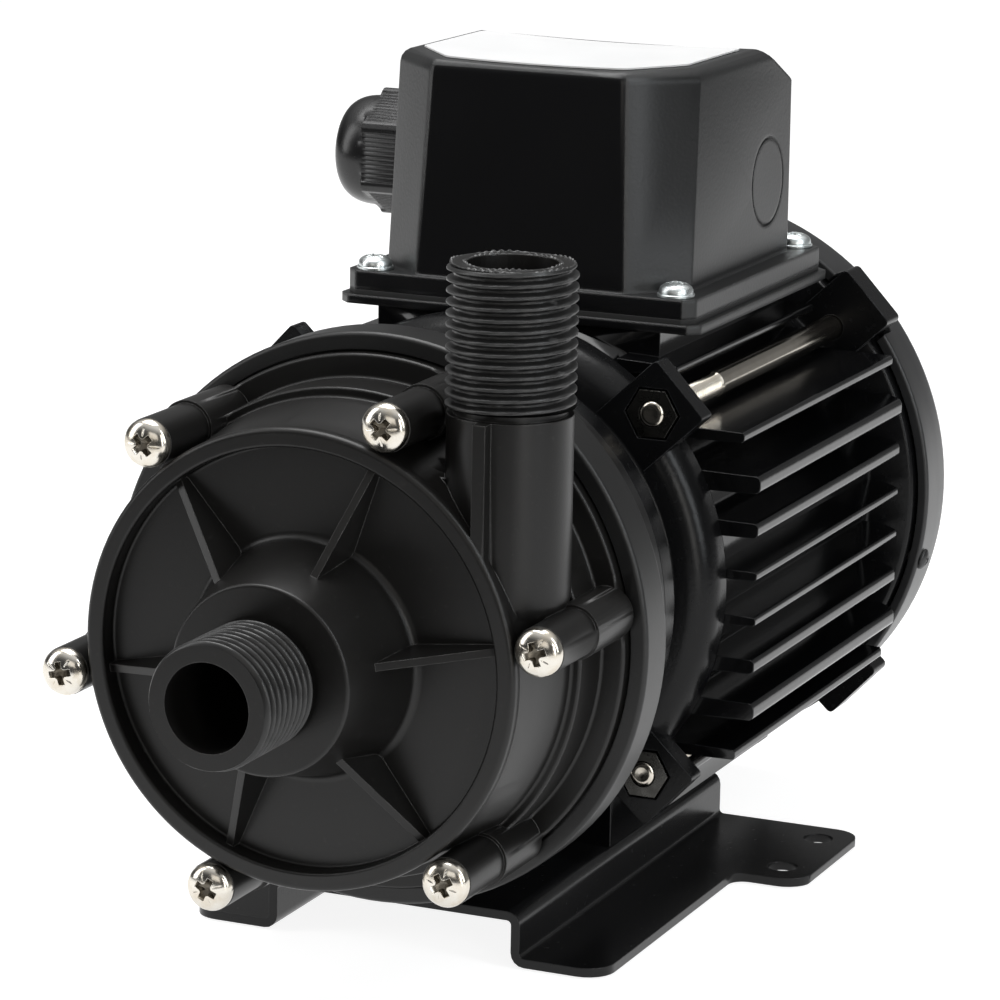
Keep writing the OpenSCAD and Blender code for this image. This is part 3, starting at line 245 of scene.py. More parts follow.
def surface(name, grids, sharp_deg=35.0, dirt_and_shade_rows=0):
    """Mesh of grids of points (grid, row, column, 3) in mm about the front rim's centre: quads between neighbours,
    the last column joined to the first, coincident points merged and the faces turned outwards. The last rows that
    the last argument counts carry an attribute that darkens a screw's recess brown: partly dirt, partly painted shade."""
    grids = np.asarray(grids, float)
    count, rows, columns = grids.shape[:3]
    number = np.arange(count * rows * columns).reshape(count, rows, columns)
    beside = np.roll(number, -1, axis=2)
    quads = np.stack([number[:, :-1], beside[:, :-1], beside[:, 1:], number[:, 1:]], axis=-1)
    mesh = bpy.data.meshes.new(name)
    mesh.from_pydata((grids.reshape(-1, 3) + RIM_CENTRE) / 1000, [], quads.reshape(-1, 4).tolist())
    # painted shade: marks the recess rows that the metal darkens, partly as dirt and partly as the shade inside the
    # recess
    recess_dirt_and_shade = np.repeat((np.arange(rows) >= rows - dirt_and_shade_rows).astype(np.float32)[None, :], count, axis=0)
    mesh.attributes.new("recess_dirt_and_shade", "FLOAT", "POINT").data.foreach_set("value", np.repeat(recess_dirt_and_shade.ravel(), columns))
    joined = bmesh.new()
    joined.from_mesh(mesh)
    bmesh.ops.remove_doubles(joined, verts=joined.verts, dist=SAME_POINT)
    bmesh.ops.recalc_face_normals(joined, faces=joined.faces)
    joined.to_mesh(mesh)
    joined.free()
    return smoothed(mesh, sharp_deg)


def turned(profile, columns, radius=None):
    """Grid of a profile of (radius, height) turned about Z; radius may add to it by a function of angle and height."""
    angle = np.linspace(0, 2 * np.pi, columns, endpoint=False)[None, :]
    r = np.asarray(profile, float)[:, :1]
    z = np.asarray(profile, float)[:, 1:] + 0 * angle
    r = r + (radius(angle, z, r) if radius else 0 * angle)
    return np.stack([r * np.cos(angle), r * np.sin(angle), z], axis=-1)


def laid(grid, way):
    """A grid along +Z laid along Y: to the back for way 1, to the front for way -1."""
    return np.stack([grid[..., 0], way * grid[..., 2], grid[..., 1]], axis=-1)


PORT_R, PORT_PITCH, PORT_DEPTH = 10.4775, 1.814, 1.162
THREAD_START, THREAD_TIP, TIP_CHAMFER = 1.2, 0.9, 0.5
ROWS_A_TURN, PORT_COLUMNS = 14, 120


def port_thread(length):
    """Grid of a pipe thread along +Z from its root: the radius falls from the crest by the depth of a rounded
    55 degree tooth, a cosine sharpened along the helix z / pitch - angle / turn, and fades into the chamfered tip."""
    height = np.linspace(0, length, int(length / PORT_PITCH * ROWS_A_TURN))

    def tooth(angle, z, r):
        phase = z / PORT_PITCH - angle / (2 * np.pi)
        wave = 0.5 + 0.5 * np.cos(2 * np.pi * phase)
        drop = PORT_DEPTH * np.clip(1.25 * wave - 0.12, 0, 1)
        start = np.clip(z / THREAD_START, 0, 1)
        tip = np.clip((length - z) / THREAD_TIP, 0, 1)
        return np.minimum(-drop * start, -TIP_CHAMFER * (1 - tip) - drop * tip)

    return turned(np.column_stack([np.full_like(height, PORT_R), height]), PORT_COLUMNS, tooth)


casing_plastic = coated(
    "fine_matte_casing", rgb(0.0080, 0.0076, 0.0072), rgb(0.10, 0.098, 0.095),
    rough=0.35, grain_mm=0.35, depth_mm=0.01, edge_mm=0.25, edge_share=0.9, specular=0.36,
)

INLET_TIP, INLET_ROOT = -31.0, -14.2
OUTLET_X, OUTLET_Y, OUTLET_ROOT, OUTLET_TIP = 31.1, 13.0, 42.9, 65.7


def thread_faces(middles):
    """The plain faces on which the two threads are made: near the crest radius, between root and tip."""
    x, y, z = middles.T
    below, above, clear = 0.6, 0.1, 0.01
    picked = np.zeros(len(middles), bool)
    inlet = (np.hypot(x, z), y, INLET_TIP, INLET_ROOT)
    outlet = (np.hypot(x - OUTLET_X, y - OUTLET_Y), z, OUTLET_ROOT, OUTLET_TIP)
    for r, station, low, high in (inlet, outlet):
        picked |= (r > PORT_R - below) & (r < PORT_R + above) & (station > low + clear) & (station < high - clear)
    return picked


skin_of(
    "front_casing", casing_plastic, "casing_plastic", name="pump_casing", leave_out=thread_faces, round_axis=True,
    sharp_deg=24.0,
)
inlet_grid = laid(port_thread(INLET_ROOT - INLET_TIP), -1) + np.array([0.0, INLET_ROOT, 0.0])
outlet_grid = port_thread(OUTLET_TIP - OUTLET_ROOT) + np.array([OUTLET_X, OUTLET_Y, OUTLET_ROOT])
# The threads, of the casing's plastic, get a paler colour and paler crests: partly wear, partly painted highlight.
thread_wear_and_highlight = coated(
    "thread_wear_and_highlight", rgb(0.013, 0.013, 0.013), rgb(0.12, 0.12, 0.12),
    rough=0.36, grain_mm=0.3, depth_mm=0.01, edge_mm=0.15, edge_share=0.6, crests=1.0,
)
show(surface("inlet_thread", [inlet_grid], 50), "inlet_thread", "housing", "casing_plastic", thread_wear_and_highlight)
show(surface("outlet_thread", [outlet_grid], 50), "outlet_thread", "housing", "casing_plastic", thread_wear_and_highlight)


# Flash on the outlet's mouth: thin ragged plastic that the parting of the mould left standing on both edges of
# the rim and that nobody trimmed. It is highest where the mould leaked most.
FLASH_H, FLASH_FOOT, FLASH_TOP, FLASH_SINK, FLASH_COLUMNS = 0.35, 0.3, 0.12, 0.1, 360
FLASH_EDGES = (PORT_R - 0.75, 7.75)


def ragged(angle, z, r):
    """Sums of sines of the angle with unlike counts, so that the edge rises and falls without a rhythm."""
    wave = np.sin(7 * angle + r) + 0.8 * np.sin(17 * angle + 2 * r)
    wave = wave + 0.6 * np.sin(41 * angle + 3) + 0.5 * np.sin(89 * angle)
    return 0.06 * wave * (z > 0.05)


flash = []
flash_turn = np.linspace(0, 2 * np.pi, FLASH_COLUMNS, endpoint=False)
for edge_r in FLASH_EDGES:
    edge_profile = [
        (edge_r - FLASH_FOOT, -FLASH_SINK), (edge_r - FLASH_TOP, FLASH_H),
        (edge_r + FLASH_TOP, FLASH_H), (edge_r + FLASH_FOOT, -FLASH_SINK),
    ]
    edge = turned(edge_profile, FLASH_COLUMNS, ragged)
    lift = (0.5 + 0.5 * np.sin(5 * flash_turn + edge_r)) * (0.6 + 0.4 * np.sin(47 * flash_turn))
    edge[..., 2] = np.where(edge[..., 2] > 0, edge[..., 2] * lift, edge[..., 2])
    flash.append(edge + np.array([OUTLET_X, OUTLET_Y, OUTLET_TIP]))
show(surface("outlet_flash", flash, 50), "outlet_flash", "housing", "casing_plastic", thread_wear_and_highlight)


# Casing screws: six stainless pan heads with a cross recess and its four fine ticks, turned and polished,
# that draw the pump head together round its rim.
def metal(name, colour, tint, rough, brush_mm=0.25, stretch=(1.0, 1.0, 1.0), edge_mm=0.12, stained=0.7):
    """Bare or plated steel: fine drawn lines and soft stains move its roughness and tint its colour, and a brown
    darkening, partly dirt and partly painted shade, fills a screw's recess where the surface's attribute marks it."""
    # the brown of the recess darkening: dirt and painted shade
    grime_and_shade, line_depth = rgb(0.05, 0.038, 0.02), 4e-6
    made, sockets, wire = new_finish(name)
    stain = wire.noise(2.4, 3.0).between(0.35, 0.75)
    lines = wire.noise(brush_mm, 3.0, stretch)
    # recess mask: painted shade and dirt in the screw's cross
    recess_dirt_and_shade = wire.add("ShaderNodeAttribute", {"attribute_name": "recess_dirt_and_shade"}, out="Fac")
    feed(sockets, "Base Color", wire.mix(recess_dirt_and_shade * 0.8, wire.mix(stain * stained, colour, tint), grime_and_shade))
    feed(sockets, "Roughness", lines * (rough * 0.7) + stain * (rough * stained * 0.5) + recess_dirt_and_shade * 0.2 + rough * 0.45)
    bump = wire.add(
        "ShaderNodeBump", None,
        {"Strength": 1.0, "Distance": line_depth, "Height": lines, "Normal": wire.rounded(edge_mm)},
    )
    feed(sockets, "Normal", bump)
    sockets["Metallic"].default_value = 1.0
    return made


RECESS_ROWS, DOME_ROWS, SCREW_COLUMNS = 5, 18, 192


def pan_screw(head_r, head_h, shank_r, shank_l):
    """Grid of a screw along +Z with its head's seat at 0. Its rows follow the outline of a cross, whose reach at each
    angle is the longer of its two bars' reaches: up the shank and the head's side, over the dome to the cross, down
    its wall and along its floor, which deepens to the middle. Four fine ticks are cut between the arms."""
    angle = np.linspace(0, 2 * np.pi, SCREW_COLUMNS, endpoint=False)
    c, s = np.abs(np.cos(angle)) + 1e-6, np.abs(np.sin(angle)) + 1e-6
    arm_w, arm_l, middle_r, tick_w, tick_at, tick_l = 0.14, 0.48, 0.25, 0.035, 0.52, 0.13
    cross = np.maximum(np.minimum(arm_l / c, arm_w / s), np.minimum(arm_l / s, arm_w / c))
    cross = np.maximum(cross, middle_r)
    tick = np.exp(-((np.mod(angle, np.pi / 2) - np.pi / 4) / tick_w) ** 2)

    def dome(share):
        return head_h * (0.30 + 0.70 * np.power(np.clip(1 - np.power(share, 2.2), 0, 1), 0.55))

    point = 0.4
    rows = [(0, -shank_l), (shank_r - point, -shank_l), (shank_r, point - shank_l), (shank_r, 0.0), (head_r, 0.0)]
    for k in np.linspace(0, 1, DOME_ROWS):
        share = 1 - (1 - 1.05 * cross) * (1 - (1 - k) ** 1.8)
        on_tick = tick * np.exp(-((share - tick_at) / tick_l) ** 4)
        rows.append((share * head_r, dome(share) - 0.06 * head_h * on_tick))
    rows.append((cross * head_r, dome(cross) - 0.04 * head_h))
    for k in np.linspace(0.93, 0.0, RECESS_ROWS):
        share = cross * k
        rows.append((share * head_r, head_h * (0.22 + 0.45 * np.clip(share / arm_l, 0, 1) ** 1.5)))
    r = np.array([row[0] + 0 * angle for row in rows])
    z = np.array([row[1] + 0 * angle for row in rows])
    return np.stack([r * np.cos(angle), r * np.sin(angle), z], axis=-1)


def spun(grid, turn_deg):
    """A grid turned about its own Z axis."""
    c, s = math.cos(math.radians(turn_deg)), math.sin(math.radians(turn_deg))
    return grid @ np.array([[c, s, 0], [-s, c, 0], [0, 0, 1]])


stainless = metal("polished_stainless", rgb(0.70, 0.67, 0.61), rgb(0.60, 0.53, 0.42), rough=0.2)

CASING_SCREW_SEAT, CASING_SCREW_RING, CASING_SCREW_FIRST = 0.8, 42.7, 9.1
CASING_SCREW_TURNS = (18, 50, 41, 12, 63, 30)
casing_screws = []
for place, turn in enumerate(CASING_SCREW_TURNS):
    angle = math.radians(CASING_SCREW_FIRST + 60 * place)
    screw = spun(pan_screw(head_r=4.0, head_h=2.6, shank_r=1.9, shank_l=33.0), turn)
    middle = np.array([CASING_SCREW_RING * math.cos(angle), CASING_SCREW_SEAT, CASING_SCREW_RING * math.sin(angle)])
    casing_screws.append(laid(screw, -1) + middle)
show(
    surface("casing_screw_heads", casing_screws, 40, RECESS_ROWS), "casing_screw_heads", "housing",
    "stainless_screw", stainless, "casing_screws",
)


# Pump bracket: a moulded ring and neck between the pump head and the motor, satin black, held by
# screws from inside.
bracket_plastic = coated(
    "satin_bracket", rgb(0.010, 0.010, 0.010), rgb(0.09, 0.09, 0.09),
    rough=0.38, grain_mm=0.4, depth_mm=0.01, edge_share=0.6, specular=0.45,
)
skin_of("pump_bracket", bracket_plastic, "bracket_plastic", name="bracket_ring", round_axis=True)


# Motor housing: front shield, finned frame and rear shield, die cast in aluminium and dipped in gloss black
# enamel, which draws back from sharp edges and lies slightly wavy on the flats; its paler edges are partly that wear
# and partly a painted highlight.
enamel = coated(
    "black_enamel", rgb(0.0035, 0.0036, 0.004), rgb(0.05, 0.052, 0.056),
    rough=0.13, grain_mm=1.8, depth_mm=0.012, edge_mm=0.3, edge_share=0.4, specular=0.4,
)
dusty_enamel = coated(
    "dusty_enamel", rgb(0.0045, 0.0046, 0.005), rgb(0.07, 0.072, 0.076),
    rough=0.27, grain_mm=0.7, depth_mm=0.022, edge_mm=0.3, edge_share=0.9, specular=0.2,
)


def bent(corners, steps=14):
    """A profile through corners of (radius, station, bend radius): each bend is an arc that touches both its sides."""
    points = []
    for before, (r, y, bend), after in zip(corners[:-2], corners[1:-1], corners[2:]):
        at = np.array([r, y])
        to, on = (np.array(c[:2]) - at for c in (before, after))
        to, on = to / np.linalg.norm(to), on / np.linalg.norm(on)
        half = math.acos(float(np.clip(to @ on, -1, 1))) / 2
        middle = at + (to + on) / np.linalg.norm(to + on) * bend / math.sin(half)
        start, end = (at + side * bend / math.tan(half) - middle for side in (to, on))
        first, last = (math.atan2(v[1], v[0]) for v in (start, end))
        turn = (last - first + math.pi) % (2 * math.pi) - math.pi
        sweep = first + turn * np.linspace(0, 1, steps)
        points.append(middle + bend * np.column_stack([np.cos(sweep), np.sin(sweep)]))
    return np.vstack([[corners[0][:2]], *points, [corners[-1][:2]]])


SHIELD_FRONT, FRAME_FRONT, SHIELD_R, SHIELD_STEP_R = 56.0, 76.0, 45.0, 38.0
shield_profile = bent([
    (34.0, SHIELD_FRONT, 0), (41.5, SHIELD_FRONT, 0.2), (41.5, 61.0, 0.8), (SHIELD_STEP_R, 61.0, 0.8),
    (SHIELD_STEP_R, 67.4, 1.0), (SHIELD_R, 69.0, 5.5), (SHIELD_R, FRAME_FRONT, 0.2), (40.0, FRAME_FRONT, 0),
])
LUG_DEG, LUG_HALF_W, LUG_FRONT, LUG_BACK = 43.2, 9.0, 67.5, 72.1


def on_lug(middles):
    """Near one of the four lugs: close to a line from the axis to a rod, and between the lugs' front and back."""
    x, y, z = np.abs(middles[:, 0]), middles[:, 1], np.abs(middles[:, 2])
    across = np.abs(x * math.sin(math.radians(LUG_DEG)) - z * math.cos(math.radians(LUG_DEG)))
    return (across < LUG_HALF_W) & (y > LUG_FRONT) & (y < LUG_BACK)


def shield_faces(middles):
    """The shield's turned outside, which a finer surface makes; the lugs that stand on it stay."""
    r, y = np.hypot(middles[:, 0], middles[:, 2]), middles[:, 1]
    round_wall = (r > SHIELD_STEP_R - 0.5) & (r < SHIELD_R + 0.02)
    return round_wall & (y > SHIELD_FRONT + 0.01) & (y < FRAME_FRONT - 0.01) & ~on_lug(middles)


shield_grid = laid(turned(shield_profile, 256), 1)
skin_of(
    "front_end_shield", dusty_enamel, "painted_cast", name="front_shield_lugs", leave_out=shield_faces,
    round_axis=True,
)
show(surface("front_shield_bulge", [shield_grid], 40), "front_shield_bulge", "housing", "painted_cast", dusty_enamel)
FIN_ROOT_R, FIN_SHORTEST, FIN_TIP_R = 45.5, 15, 0.7


def fin_tips(start, end):
    """The fins' long outer edges: along the axis, not short, and outside the fins' roots."""
    along = np.abs(end - start)
    straight = (along[:, 1] > FIN_SHORTEST) & (along[:, 0] < 0.05) & (along[:, 2] < 0.05)
    return straight & (np.hypot(start[:, 0], start[:, 2]) > FIN_ROOT_R)


skin_of(
    "motor_frame", enamel, "painted_cast", name="motor_frame_enamelled", round_axis=True, soft=(FIN_TIP_R, fin_tips)
)
skin_of("rear_end_shield", dusty_enamel, "painted_cast", name="rear_end_shield_enamelled", round_axis=True)


# Tie rods: four long steel screws that clamp the motor's castings, rolled thread at the front end in hexagon
# nuts that sit in pockets of the lugs.
rod_steel = metal(
    "passivated_rod", rgb(0.60, 0.56, 0.49), rgb(0.45, 0.40, 0.32), rough=0.2, stretch=(1.0, 60.0, 1.0), stained=0.25
)
ROD_R, ROD_FRONT, ROD_BACK, ROD_RING = 2.3, 67.0, 165.2, 46.3
ROD_THREAD_END, ROD_PITCH, ROD_TOOTH, ROD_CLEAR = 96.0, 0.8, 0.45, 0.2
ROD_COLUMNS, ROD_THREAD_ROWS, ROD_END_ROWS = 36, 380, 8
thread_l, rod_l = ROD_THREAD_END - ROD_FRONT, ROD_BACK - ROD_FRONT
rod_y = np.concatenate([
    np.linspace(0, 1.0, ROD_END_ROWS), np.linspace(1.05, thread_l, ROD_THREAD_ROWS), [thread_l + 0.4, rod_l]
])
rod_dome = np.sqrt(np.clip(1 - (1 - np.clip(rod_y, 0, 1)) ** 2, 0, 1)) * 0.3 + 0.7


def rod_tooth(angle, z, r):
    """A cosine groove along the helix z / pitch - angle / turn that ends where the shank starts."""
    phase = z / ROD_PITCH - angle / (2 * np.pi)
    cut = np.clip((thread_l - z) / 0.5, 0, 1) * np.clip((z - 0.4) / 0.8, 0, 1)
    return -(ROD_CLEAR + ROD_TOOTH * (0.5 + 0.5 * np.cos(2 * np.pi * phase))) * cut * (r > 1.0)


rod_profile = np.vstack([
    [(0, 0.12), (0.5, 0.1), (1.2, 0.02)], np.column_stack([ROD_R * rod_dome, rod_y]), [(0, rod_l)]
])
rod_grid = laid(turned(rod_profile, ROD_COLUMNS, rod_tooth), 1)
rod_x, rod_z = ROD_RING * math.cos(math.radians(LUG_DEG)), ROD_RING * math.sin(math.radians(LUG_DEG))
rods = [rod_grid + np.array([side * rod_x, ROD_FRONT, up * rod_z]) for side in (-1, 1) for up in (-1, 1)]
show(surface("threaded_rods", rods, 60), "threaded_rods", "housing", "rod_steel", rod_steel)
skin_of(
    "tie_rods", rod_steel, "rod_steel", name="rod_hexagon_heads",
    leave_out=lambda middles: middles[:, 1] < ROD_BACK - 0.25,
)
blackened = metal("blackened_nut", rgb(0.10, 0.098, 0.092), rgb(0.06, 0.058, 0.052), rough=0.32)
skin_of("tie_rod_nuts", blackened, "rod_steel", name="rod_nuts")


# Fan cover: a shallow moulded cowl with air slots that slips over the rear shield and is held by four small
# black screws.
cowl_plastic = coated(
    "satin_cowl", rgb(0.020, 0.0202, 0.021), rgb(0.08, 0.08, 0.082),
    rough=0.36, grain_mm=0.5, depth_mm=0.012, edge_mm=0.4, edge_share=0.5,
)
skin_of("fan_cover", cowl_plastic, "cowl_plastic", name="cowl", round_axis=True)
black_oxide = coated(
    "black_oxide", rgb(0.018, 0.018, 0.019), rgb(0.16, 0.15, 0.14),
    rough=0.34, grain_mm=0.3, depth_mm=0.01, edge_mm=0.1, edge_share=0.9,
)
skin_of("fan_cover_screws", black_oxide, "cowl_screw", name="cowl_screws")
fan_plastic = coated(
    "fan_moulding", rgb(0.022, 0.022, 0.022), rgb(0.08, 0.08, 0.08), rough=0.5, grain_mm=0.4, depth_mm=0.01
)
skin_of("cooling_fan", fan_plastic, "fan_plastic", body="motor_rotor", name="fan_blades")


# Base: one folded steel sheet with rounded corners and four holes in its feet, powder coated black; the
# coat is a little bumpy and shines along the folds.
powder = coated(
    "powder_coat", rgb(0.008, 0.008, 0.0085), rgb(0.07, 0.07, 0.072),
    rough=0.24, grain_mm=0.9, depth_mm=0.016, edge_mm=0.3, edge_share=0.5, specular=0.3,
)
skin_of("base_bracket", powder, "painted_sheet", name="base_sheet")


# Terminal box: a plate and a gasket on the motor under a deep moulded cover of gloss black plastic, leather
# grained on its slanted corners and sides and smooth on its front.
def box_finish(name):
    """Gloss black moulding whose grain, cells of a leather pattern, fades out on faces that look to the front; the
    grained faces are a paler black, partly the grain's own tone and partly painted light for the light they catch, and
    its edges are paled by a painted highlight with some wear.
    """
    made, sockets, wire = new_finish(name)
    clouds = wire.noise(26.0, 3.0)
    facing = wire.add("ShaderNodeNewGeometry", out="True Normal")
    front = wire.add("ShaderNodeSeparateXYZ", None, {0: facing}, out="Y") * -1.0
    grained = 1.0 - front.between(0.8, 0.97)
    at = wire.add("ShaderNodeTexCoord", out="Object")
    cells = wire.add(
        "ShaderNodeTexVoronoi", {"feature": "SMOOTH_F1"}, {"Vector": at, "Scale": 1700.0, "Randomness": 1.0}
    )
    rounded = wire.rounded(0.9)
    edge = wire.edges(rounded) * wire.noise(4.0, 3.0).between(0.3, 0.75)
    dark = wire.mix(clouds, rgb(0.004, 0.004, 0.0044), rgb(0.006, 0.006, 0.0065))
    # painted light: grained faces a paler black, partly the grain's own tone and partly standing in for the light their
    # slants catch
    dark = wire.mix(grained, dark, rgb(0.014, 0.0145, 0.0148))
    # painted highlight: edges paled, with some wear
    feed(sockets, "Base Color", wire.mix(edge * 0.2, dark, rgb(0.06, 0.06, 0.062)))
    feed(sockets, "Roughness", grained * 0.24 + clouds * 0.05 + 0.12)
    relief = cells * grained + wire.noise(5.0, 2.0) * 0.25
    bump = wire.add(
        "ShaderNodeBump", None,
        {"Strength": 1.0, "Distance": 2.2e-5, "Height": relief, "Normal": rounded},
    )
    feed(sockets, "Normal", bump)
    return made


box_plastic = box_finish("leather_grained_box")
skin_of("terminal_cover", box_plastic, "box_plastic", name="box_cover")
skin_of("terminal_box_base", box_plastic, "box_plastic", name="box_floor")

zinc = metal("bright_zinc", rgb(0.76, 0.80, 0.80), rgb(0.62, 0.67, 0.67), rough=0.36)
COVER_SCREW_X, COVER_SCREW_Y, COVER_MID, COVER_SCREW_SEAT = 28.8, 30.1, 120.1, 47.9
COVER_SCREW_TURNS = ((-1, -1, 20), (1, -1, 65), (-1, 1, 40), (1, 1, 8))
WASHER_BORE, WASHER_R, WASHER_T, WASHER_EDGE = 1.55, 3.3, 0.6, 0.1
washer_profile = [
    (WASHER_BORE, 0), (WASHER_R - WASHER_EDGE, 0), (WASHER_R, WASHER_EDGE), (WASHER_R, WASHER_T - WASHER_EDGE),
    (WASHER_R - WASHER_EDGE, WASHER_T), (WASHER_BORE, WASHER_T), (WASHER_BORE, 0),
]
cover_screws = []
washers = []
for side, end, turn in COVER_SCREW_TURNS:
    middle = np.array([side * COVER_SCREW_X, COVER_MID + end * COVER_SCREW_Y, COVER_SCREW_SEAT])
    screw = spun(pan_screw(head_r=3.0, head_h=2.0, shank_r=1.45, shank_l=5.9), turn)
    cover_screws.append(screw + middle + np.array([0, 0, WASHER_T]))
    washers.append(turned(washer_profile, 64) + middle)
show(
    surface("cover_screw_heads", cover_screws, 40, RECESS_ROWS), "cover_screw_heads", "housing", "zinc_screw", zinc,
    "cover_screws",
)
show(surface("cover_washers", washers, 30), "cover_washers", "housing", "zinc_screw", zinc)


# Plate on the dished top of the cover: a thin white plastic film, bare and slightly uneven, stuck down so that it
# follows the hollow of the top.
white_film, sockets, wire = new_finish("bare_white_film")
film_cloud = wire.noise(14.0, 3.0)
feed(sockets, "Base Color", wire.mix(film_cloud, rgb(0.72, 0.72, 0.72), rgb(0.79, 0.79, 0.79)))
feed(sockets, "Roughness", film_cloud * 0.1 + wire.noise(0.8, 2.0) * 0.06 + 0.36)
film_bump = wire.add(
    "ShaderNodeBump", None,
    {"Strength": 1.0, "Distance": 6e-6, "Height": wire.noise(1.2, 2.0), "Normal": wire.rounded(0.08)},
)
feed(sockets, "Normal", film_bump)
skin_of("nameplate", white_film, "plate_white", name="bare_plate")


# Cable gland: hexagon body and dome nut of black nylon, screwed through the box's left wall with a locknut
# inside. Fine ridges on the nut's flats give the fingers grip, and a rubber seal fills its mouth.
nylon = coated(
    "gland_nylon", rgb(0.009, 0.009, 0.0095), rgb(0.06, 0.06, 0.062),
    rough=0.27, grain_mm=0.5, depth_mm=0.008, edge_mm=0.3, edge_share=0.4,
)
for part in ("gland_body", "gland_locknut"):
    skin_of(part, nylon, "gland_plastic", name=part + "_nylon")

GLAND_WALL, GLAND_Y, GLAND_Z = 29.048, 133.9, 62.2
NUT_AF, NUT_DOME_R, NUT_FOOT, NUT_GRIP, NUT_TIP = 21.0, 10.3, 6.3, 13.0, 25.5
NUT_MOUTH_R, NUT_THREAD_R, NUT_THREAD_TOP = 4.5, 7.1, 18.7
NUT_DOME_TIP_R, NUT_MOUTH_EDGE, NUT_CORNER, NUT_COLUMNS, NUT_DOME_ROWS = 6.6, 0.4, 1.125, 720, 18
RIDGE_PITCH, RIDGE_H, RIDGE_REACH = 0.86, 0.26, 4.6
# each ring of the grip: height over the foot, share of the ridges, chamfer
GRIP_RINGS = (
    (0.0, 0, 0.5), (0.5, 0, 0), (1.2, 0, 0), (1.6, 1, 0), (11.2, 1, 0), (11.6, 0, 0), (12.4, 0, 0),
)


def grip_radius(angle, reach):
    """Radius of the hexagon at an angle: half the width over the flats divided by the cosine from the flat's middle,
    with its corners rounded off; fine ridges, a cosine across each flat, stand on it by a share of reach."""
    from_flat = np.mod(angle, np.pi / 3) - np.pi / 6
    flat = np.minimum(NUT_AF / 2 / np.cos(from_flat), NUT_AF / 2 * NUT_CORNER)
    across = NUT_AF / 2 * np.tan(from_flat)
    ridge = (0.5 + 0.5 * np.cos(2 * np.pi * across / RIDGE_PITCH)) * (np.abs(across) < RIDGE_REACH)
    smooth = np.abs(across) >= RIDGE_REACH
    return np.maximum(flat - RIDGE_H + RIDGE_H * ridge * reach + RIDGE_H * smooth, NUT_DOME_R)


around = np.linspace(0, 2 * np.pi, NUT_COLUMNS, endpoint=False)
nut_rows = [(NUT_THREAD_R, NUT_THREAD_TOP), (NUT_THREAD_R, NUT_FOOT), (NUT_DOME_R, NUT_FOOT)]
for z, reach, chamfer in GRIP_RINGS:
    nut_rows.append((grip_radius(around, reach) - chamfer, NUT_FOOT + z))
dome_foot, dome_h = NUT_FOOT + NUT_GRIP, NUT_TIP - NUT_FOOT - NUT_GRIP
for t in np.linspace(0, 1, NUT_DOME_ROWS) * math.pi / 2:
    bend = 1 - (1 - math.cos(t)) ** 1.15
    nut_rows.append((NUT_DOME_TIP_R + (NUT_DOME_R - NUT_DOME_TIP_R) * bend, dome_foot + dome_h * math.sin(t)))
nut_rows += [
    (NUT_MOUTH_R + NUT_MOUTH_EDGE, NUT_TIP), (NUT_MOUTH_R, NUT_TIP - NUT_MOUTH_EDGE), (NUT_MOUTH_R, NUT_THREAD_TOP)
]
nut_r = np.array([row[0] + 0 * around for row in nut_rows])
nut_z = np.array([row[1] + 0 * around for row in nut_rows])
nut_grid = np.stack(
    [-GLAND_WALL - nut_z, GLAND_Y + nut_r * np.sin(around), GLAND_Z + nut_r * np.cos(around)], axis=-1
)
nut_grid = np.concatenate([nut_grid, nut_grid[:1]])
show(surface("ribbed_gland_nut", [nut_grid], 32), "ribbed_gland_nut", "housing", "gland_plastic", nylon, "gland_nut")
seal_rubber = coated(
    "seal_rubber", rgb(0.012, 0.012, 0.012), rgb(0.05, 0.05, 0.05), rough=0.7, grain_mm=0.3, depth_mm=0.01
)
for part in ("gland_seal", "terminal_gasket", "casing_o_ring"):
    skin_of(part, seal_rubber, "seal_rubber", name=part + "_rubber")


# Pieces inside: the can and impeller with their magnets, the ceramic spindle, the motor's windings, cores,
# shaft and bearings, and what the box holds. They keep their solids' shapes.
plain_moulding = coated("inner_moulding", rgb(0.05, 0.05, 0.055), rgb(0.11, 0.11, 0.115), 0.5, 0.5, 0.01)
ceramic = coated("ground_ceramic", rgb(0.80, 0.78, 0.71), rgb(0.86, 0.85, 0.80), 0.25, 0.4, 0.004, cloud=0.06)
carbon = coated("machined_carbon", rgb(0.05, 0.05, 0.05), rgb(0.12, 0.12, 0.12), 0.4, 0.3, 0.006)
ferrite = coated("sintered_magnet", rgb(0.07, 0.068, 0.066), rgb(0.16, 0.155, 0.15), 0.55, 0.6, 0.015)
laminations = metal("stamped_core", rgb(0.30, 0.30, 0.31), rgb(0.20, 0.19, 0.18), 0.45, 0.5, (40.0, 1.0, 40.0))
copper = metal("enamelled_copper", rgb(0.62, 0.26, 0.11), rgb(0.45, 0.17, 0.07), 0.35, 0.5, (1.0, 30.0, 1.0))
ground_steel = metal("ground_steel", rgb(0.56, 0.56, 0.57), rgb(0.46, 0.46, 0.46), 0.25)
block_plastic = coated("block_moulding", rgb(0.70, 0.68, 0.61), rgb(0.80, 0.79, 0.74), 0.45, 0.5, 0.01, cloud=0.08)
can_plastic = coated("capacitor_can", rgb(0.72, 0.72, 0.70), rgb(0.80, 0.80, 0.79), 0.3, 0.6, 0.006, cloud=0.06)
